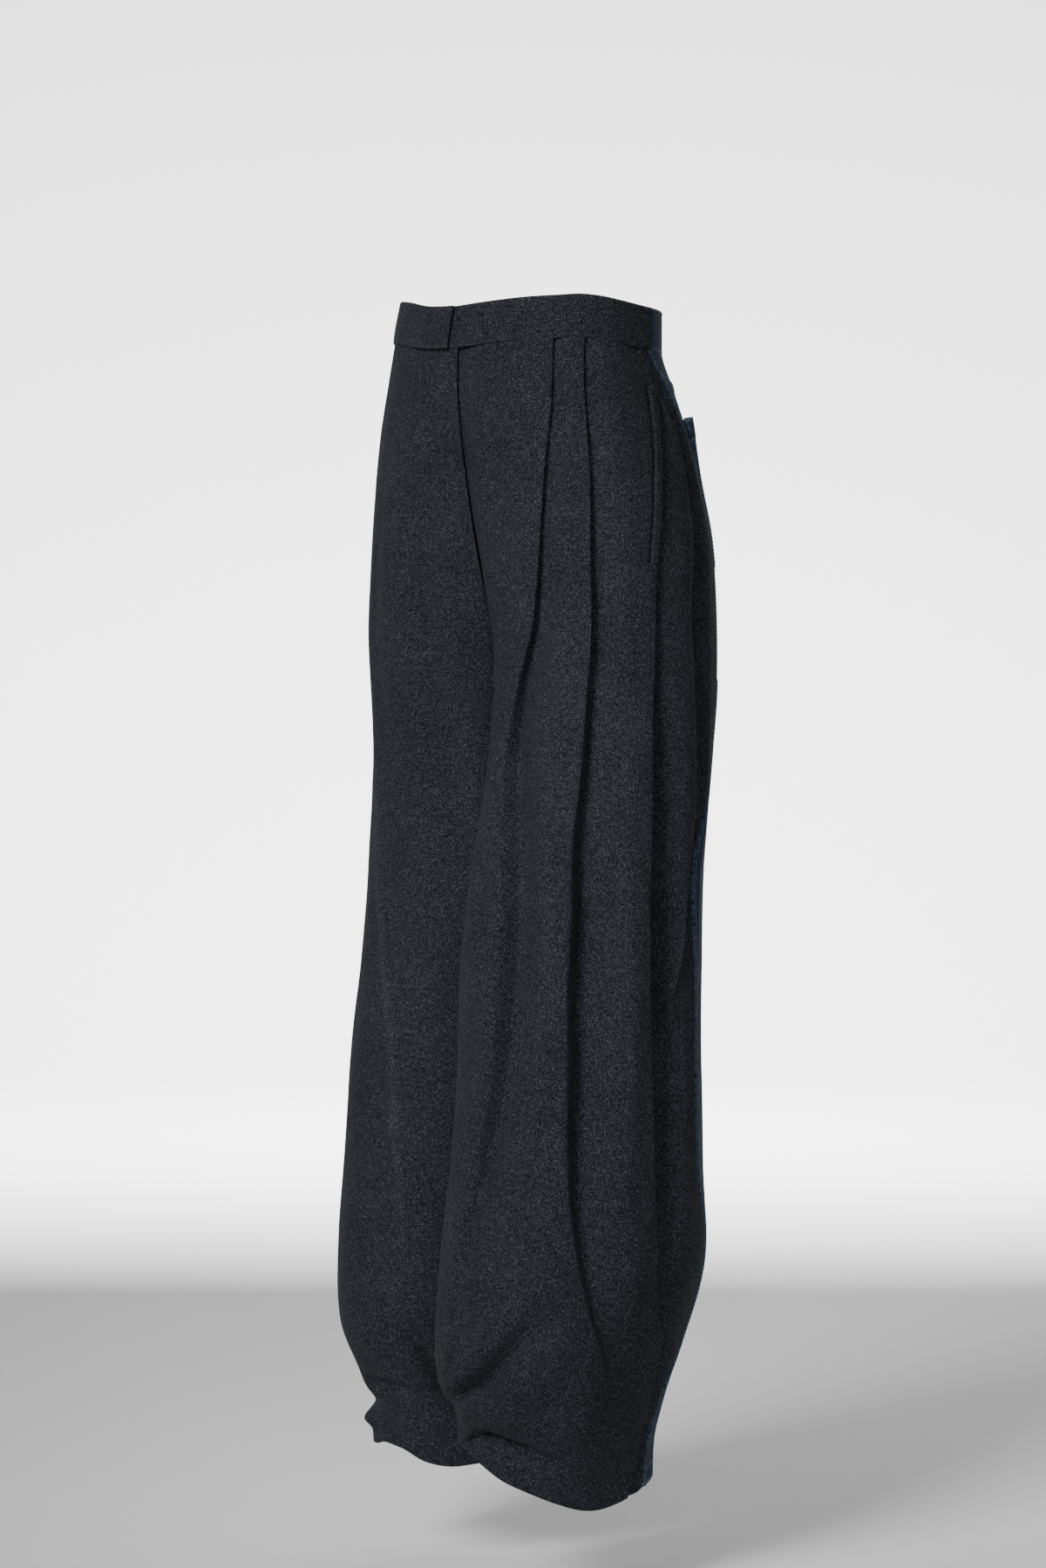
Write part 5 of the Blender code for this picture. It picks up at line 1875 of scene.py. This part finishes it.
@dataclass
class Sewing:
    """Where the rows of stitches run on one half."""

    shape: Shape
    wool: Topstitching
    denim: Topstitching
    steps: int = 160
    clear: float = 0.0001
    twin: tuple[float, float] = (0.0017, 0.0077)
    fly_steps: tuple[int, int] = (60, 30)
    fly_foot: float = -0.178
    fly_width: float = 0.030
    fly_curve: float = 0.034
    yoke_start: tuple[float, float] = (YOKE_SIDE - 0.010, 1.5)
    yoke_end: float = 178.0
    middle_foot: float = CROTCH_TOP - 0.005
    side_ends: tuple[float, float] = (YOKE_SIDE - 0.004, HEM + 0.004)
    seam_inset: float = 0.0022
    hem_start: float = 1.0
    hem_end: float = 269.0
    hem_height: float = 0.015
    strip_inset: float = 0.0009
    strip_rise: float = 0.92
    pocket_insets: tuple[float, float] = (0.0016, 0.0066)
    pocket_rise: float = 0.0004
    pocket_steps: tuple[int, int] = (60, 80)
    pocket_top: float = 0.01
    top_clear: float = 0.02
    top_rows: tuple[float, float] = (0.0020, PatchPocket.TOP_HEM - 0.0015)
    top_rise: float = 0.0010

    def sew(self, thread: Topstitching, turn: Array, level: Array, out: float | Array) -> None:
        """Sews one row over the cloth.

        Args:
            thread: The thread.
            turn: The turns of its line.
            level: The levels.
            out: How far it lies out.
        """
        turn, level = np.broadcast_arrays(np.asarray(turn, dtype=float), np.asarray(level, dtype=float))
        thread.add(self.shape.skin(turn, level, out), self.shape.outward(turn, level))

    def side_pocket(self) -> None:
        """Sews one row along the pocket's edge."""
        level = np.linspace(POCKET_EDGE_TOP - 0.001, POCKET_EDGE_BOTTOM + 0.001, self.steps)
        turn = self.shape.riser_ends(POCKET_FOLD, level)[0] - turn_of(POCKET_EDGE_WIDTH - self.strip_inset)
        self.sew(self.wool, turn, level, PATCH_WALL * self.strip_rise + SEAM_GAP)

    def fly(self) -> None:
        """Sews the row that holds the fly, down from the waistband and curving to the middle."""
        if self.shape.side is Side.LEFT:
            return
        straight = np.linspace(STITCH_TOP, self.fly_foot, self.fly_steps[0])
        angle = np.linspace(0, math.pi / 2, self.fly_steps[1])[1:]
        level = np.concatenate([straight, self.fly_foot - self.fly_curve * np.sin(angle)])
        across = self.fly_width * np.concatenate([np.ones(len(straight)), np.cos(angle)])
        turn = self.shape.middle_turn(level, at_back=False) + turn_of(across)
        self.sew(self.wool, turn, level, self.clear)

    def back_seams(self) -> None:
        """Sews two rows beside the yoke and the middle seam, and one along the side seam and the hem."""
        shape, felled = self.shape, DenimBack.FELL_HEIGHT + self.clear
        start = shape.side_seam_turn(np.array(self.yoke_start[0])) + self.yoke_start[1]
        for inset in self.twin:
            turn = np.linspace(start, self.yoke_end, self.steps)
            self.sew(self.denim, turn, yoke_level(turn) - inset, felled)
        if shape.side is Side.LEFT:
            for inset in self.twin:
                level = np.linspace(STITCH_TOP, self.middle_foot, 2 * self.steps)
                turn = shape.middle_turn(level, at_back=True) - turn_of(inset)
                self.sew(self.denim, turn, level, felled)
        level = np.linspace(*self.side_ends, 5 * self.steps)
        raised = np.where(level < CROTCH_BOTTOM, felled, self.clear)
        self.sew(self.denim, shape.side_seam_turn(level) + turn_of(self.seam_inset), level, raised)
        turn = np.linspace(shape.side_seam_turn(np.array(HEM)) + self.hem_start, self.hem_end, self.steps)
        self.sew(self.denim, turn, HEM + self.hem_height, self.clear)

    def patch(self, pocket: PatchPocket) -> None:
        """Sews two rows round a back pocket and two across its hemmed top.

        Args:
            pocket: The pocket.
        """
        for inset in self.pocket_insets:
            share, down_share = inset / pocket.MEAN_WIDTH, inset / pocket.HEIGHT
            down = np.linspace(self.pocket_top, 1 - down_share, self.pocket_steps[0])
            edge = np.full(len(down), share)
            foot = np.linspace(share, 1 - share, self.pocket_steps[1])
            across = np.concatenate([edge, foot, 1 - edge])
            all_down = np.concatenate([down, np.full(len(foot), 1 - down_share), down[::-1]])
            turn, level, out = pocket.place(across, all_down)
            self.sew(self.denim, turn, level, out + self.pocket_rise)
        for drop in self.top_rows:
            across = np.linspace(self.top_clear, 1 - self.top_clear, self.pocket_steps[1])
            turn, level, out = pocket.place(across, np.full(len(across), drop / pocket.HEIGHT))
            self.sew(self.denim, turn, level, out + self.top_rise)


def sew_band(band: Waistband, stretch: BandStretch, thread: Topstitching) -> None:
    """Sews the rows along a stretch of the waistband.

    Args:
        band: The waistband.
        stretch: The stretch.
        thread: The thread.
    """
    around = np.linspace(stretch.start + BAND_ROW_CLEAR, stretch.end - BAND_ROW_CLEAR, BAND_ROW_STEPS)
    for level in (-BAND_ROW_INSET, -BAND_HEIGHT + BAND_ROW_INSET):
        levels = np.full_like(around, level)
        points = band.point(around, levels, BAND_PROUD + BAND_ROW_OUT)
        outward = band.point(around, levels, BAND_PROUD + BAND_ROW_OUT + thread.SIGHT) - points
        thread.add(points, outward / np.linalg.norm(outward, axis=1, keepdims=True))


# ---------------------------------------------------------------- studio
class Lamp(NamedTuple):
    """A soft light: its turn from the camera and its rise in degrees, its distance, size, watts and beam."""

    name: str
    turn: float
    rise: float
    reach: float
    size: float
    power: float
    beam: float = 180
    away: bool = False


@dataclass(frozen=True)
class Studio:
    """A pale floor that curves up all round, soft lights, and the camera at the photograph's angle."""

    azimuth: float = 43.0
    distance: float = 3.6
    height: float = -0.441
    pixel: float = 0.00081
    image_width: int = 1200
    image_height: int = 1799
    middle_column: int = 608
    sensor: float = 36.0
    floor: float = -1.165
    floor_half: float = 12.0
    floor_cells: int = 120
    floor_colour: Colour = (0.90, 0.90, 0.90, 1.0)
    floor_flat: float = 6.0
    floor_bend: float = 0.20
    lit_height: float = -0.5
    lamp_tall: float = 1.3
    away_drop: float = -0.30
    world: float = 0.02
    lamps: tuple[Lamp, ...] = (
        Lamp("key", turn=-30, rise=30, reach=3.2, size=1.1, power=10.5, beam=44),
        Lamp("front", turn=4, rise=4, reach=3.4, size=1.0, power=2.6, beam=44),
        Lamp("side", turn=128, rise=24, reach=3.4, size=1.4, power=9),
        Lamp("back", turn=180, rise=48, reach=3.6, size=2.4, power=32),
        Lamp("backdrop", turn=180, rise=42, reach=4.6, size=2.4, power=1500, away=True),
    )

    def camera(self) -> None:
        """Sets the camera."""
        data = bpy.data.cameras.new("studio_camera")
        data.sensor_width = self.sensor
        data.sensor_fit = "AUTO"
        data.lens = self.sensor * self.distance / (self.image_height * self.pixel)
        data.shift_x = (self.image_width / 2 - self.middle_column) / self.image_height
        camera = placed("studio_camera", data)
        angle = math.radians(self.azimuth)
        way = Vector((math.sin(angle), -math.cos(angle), 0))
        camera.location = Vector((0, 0, self.height)) + way * self.distance
        camera.rotation_euler = (-way).to_track_quat("-Z", "Y").to_euler()
        bpy.context.scene.camera = camera

    def hang(self, lamp: Lamp) -> None:
        """Hangs one light, towards the garment or away from it at the backdrop.

        Args:
            lamp: The light.
        """
        data = bpy.data.lights.new(lamp.name, "AREA")
        data.energy = lamp.power
        data.shape = "RECTANGLE"
        data.size, data.size_y = lamp.size, lamp.size * self.lamp_tall
        data.spread = math.radians(lamp.beam)
        light = placed(lamp.name, data)
        angle, up = math.radians(self.azimuth + lamp.turn), math.radians(lamp.rise)
        way = Vector((math.sin(angle) * math.cos(up), -math.cos(angle) * math.cos(up), math.sin(up)))
        aim = Vector((way.x, way.y, self.away_drop)) if lamp.away else -way
        light.location = Vector((0, 0, self.lit_height)) + way * lamp.reach
        light.rotation_euler = aim.to_track_quat("-Z", "Y").to_euler()
        light.visible_camera = False

    def backdrop(self) -> None:
        """Lays the floor, as a wide sheet that curves up all the way round."""
        shape = bmesh.new()
        cells = self.floor_cells
        bmesh.ops.create_grid(shape, x_segments=cells, y_segments=cells, size=self.floor_half)
        for vertex in shape.verts:
            beyond = max(0.0, math.hypot(vertex.co.x, vertex.co.y) - self.floor_flat)
            vertex.co.z = self.floor + self.floor_bend * beyond * beyond
        mesh = bpy.data.meshes.new("pale_floor")
        shape.to_mesh(mesh)
        shape.free()
        mesh.shade_smooth()
        finish = Nodes("pale_floor", Base_Color=self.floor_colour, Roughness=0.95, Specular_IOR_Level=0.0)
        mesh.materials.append(finish.material)
        placed("pale_floor", mesh)

    def build(self) -> None:
        """Sets the whole studio."""
        self.camera()
        self.backdrop()
        for lamp in self.lamps:
            self.hang(lamp)
        world = bpy.data.worlds.new("soft_white")
        world.use_nodes = True
        background = world.node_tree.nodes["Background"]
        background.inputs["Color"].default_value = (1, 1, 1, 1)
        background.inputs["Strength"].default_value = self.world
        bpy.context.scene.world = world


def main() -> None:
    """Builds the garment piece by piece and sets the studio."""
    logging.basicConfig(level=logging.INFO, format="%(message)s")
    Studio().build()
    wool, denim = WoolFlannel().material(), IndigoDenim().material()
    wool_thread = Thread("charcoal_thread", colour(12, 13, 16), colour(24, 26, 30)).material()
    denim_thread = Thread("indigo_thread", colour(30, 48, 70), colour(70, 92, 116)).material()
    wool_stitches = Topstitching("wool_topstitching", Slot.WOOL, wool_thread)
    denim_stitches = Topstitching("denim_topstitching", Slot.DENIM, denim_thread)

    seam = BAND_SIDE_SEAM - float(turn_of(HALF_GAP))
    behind = BAND_SIDE_SEAM + float(turn_of(HALF_GAP))
    lap = math.degrees(LAP_LENGTH / WAIST_HALF_WIDTH)
    right_cut, left_cut, back_cut = Cut(0.234, 0.04, 0.009), Cut(0.26, 0.04, 0.0102), Cut(0.374, 0.04, 0.0142)
    right = BandStretch("wool_band_right", "waistband_front_right", -seam, 0.0, 90, True, right_cut)
    left = BandStretch("wool_band_left", "waistband_front_left", -lap, seam, 100, False, left_cut)
    back = BandStretch("denim_band_back", "waistband_back", behind, 360 - behind, 120, False, back_cut)
    wool_band, denim_band = Waistband(Slot.WOOL, wool), Waistband(Slot.DENIM, denim)
    wool_band.build(right)
    wool_band.build(left)
    denim_band.build(back)
    sew_band(denim_band, back, denim_stitches)

    for side in Side:
        shape = Shape(side)
        band = f"wool_band_{side.word}"
        WoolFront(shape, Slot.WOOL, wool).build(band)
        WoolSide(shape, Slot.WOOL, wool).build(band)
        DenimYoke(shape, Slot.DENIM, denim).build("denim_band_back")
        DenimBack(shape, Slot.DENIM, denim).build(f"denim_yoke_{side.word}")
        PocketStrip(shape, Slot.WOOL, wool).build(f"wool_front_{side.word}")
        pocket = PatchPocket(shape, Slot.DENIM, denim)
        pocket.build(f"denim_back_{side.word}")
        sewing = Sewing(shape, wool_stitches, denim_stitches)
        sewing.side_pocket()
        sewing.fly()
        sewing.back_seams()
        sewing.patch(pocket)
    wool_stitches.build()
    denim_stitches.build()

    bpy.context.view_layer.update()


if __name__ == "__main__":
    main()
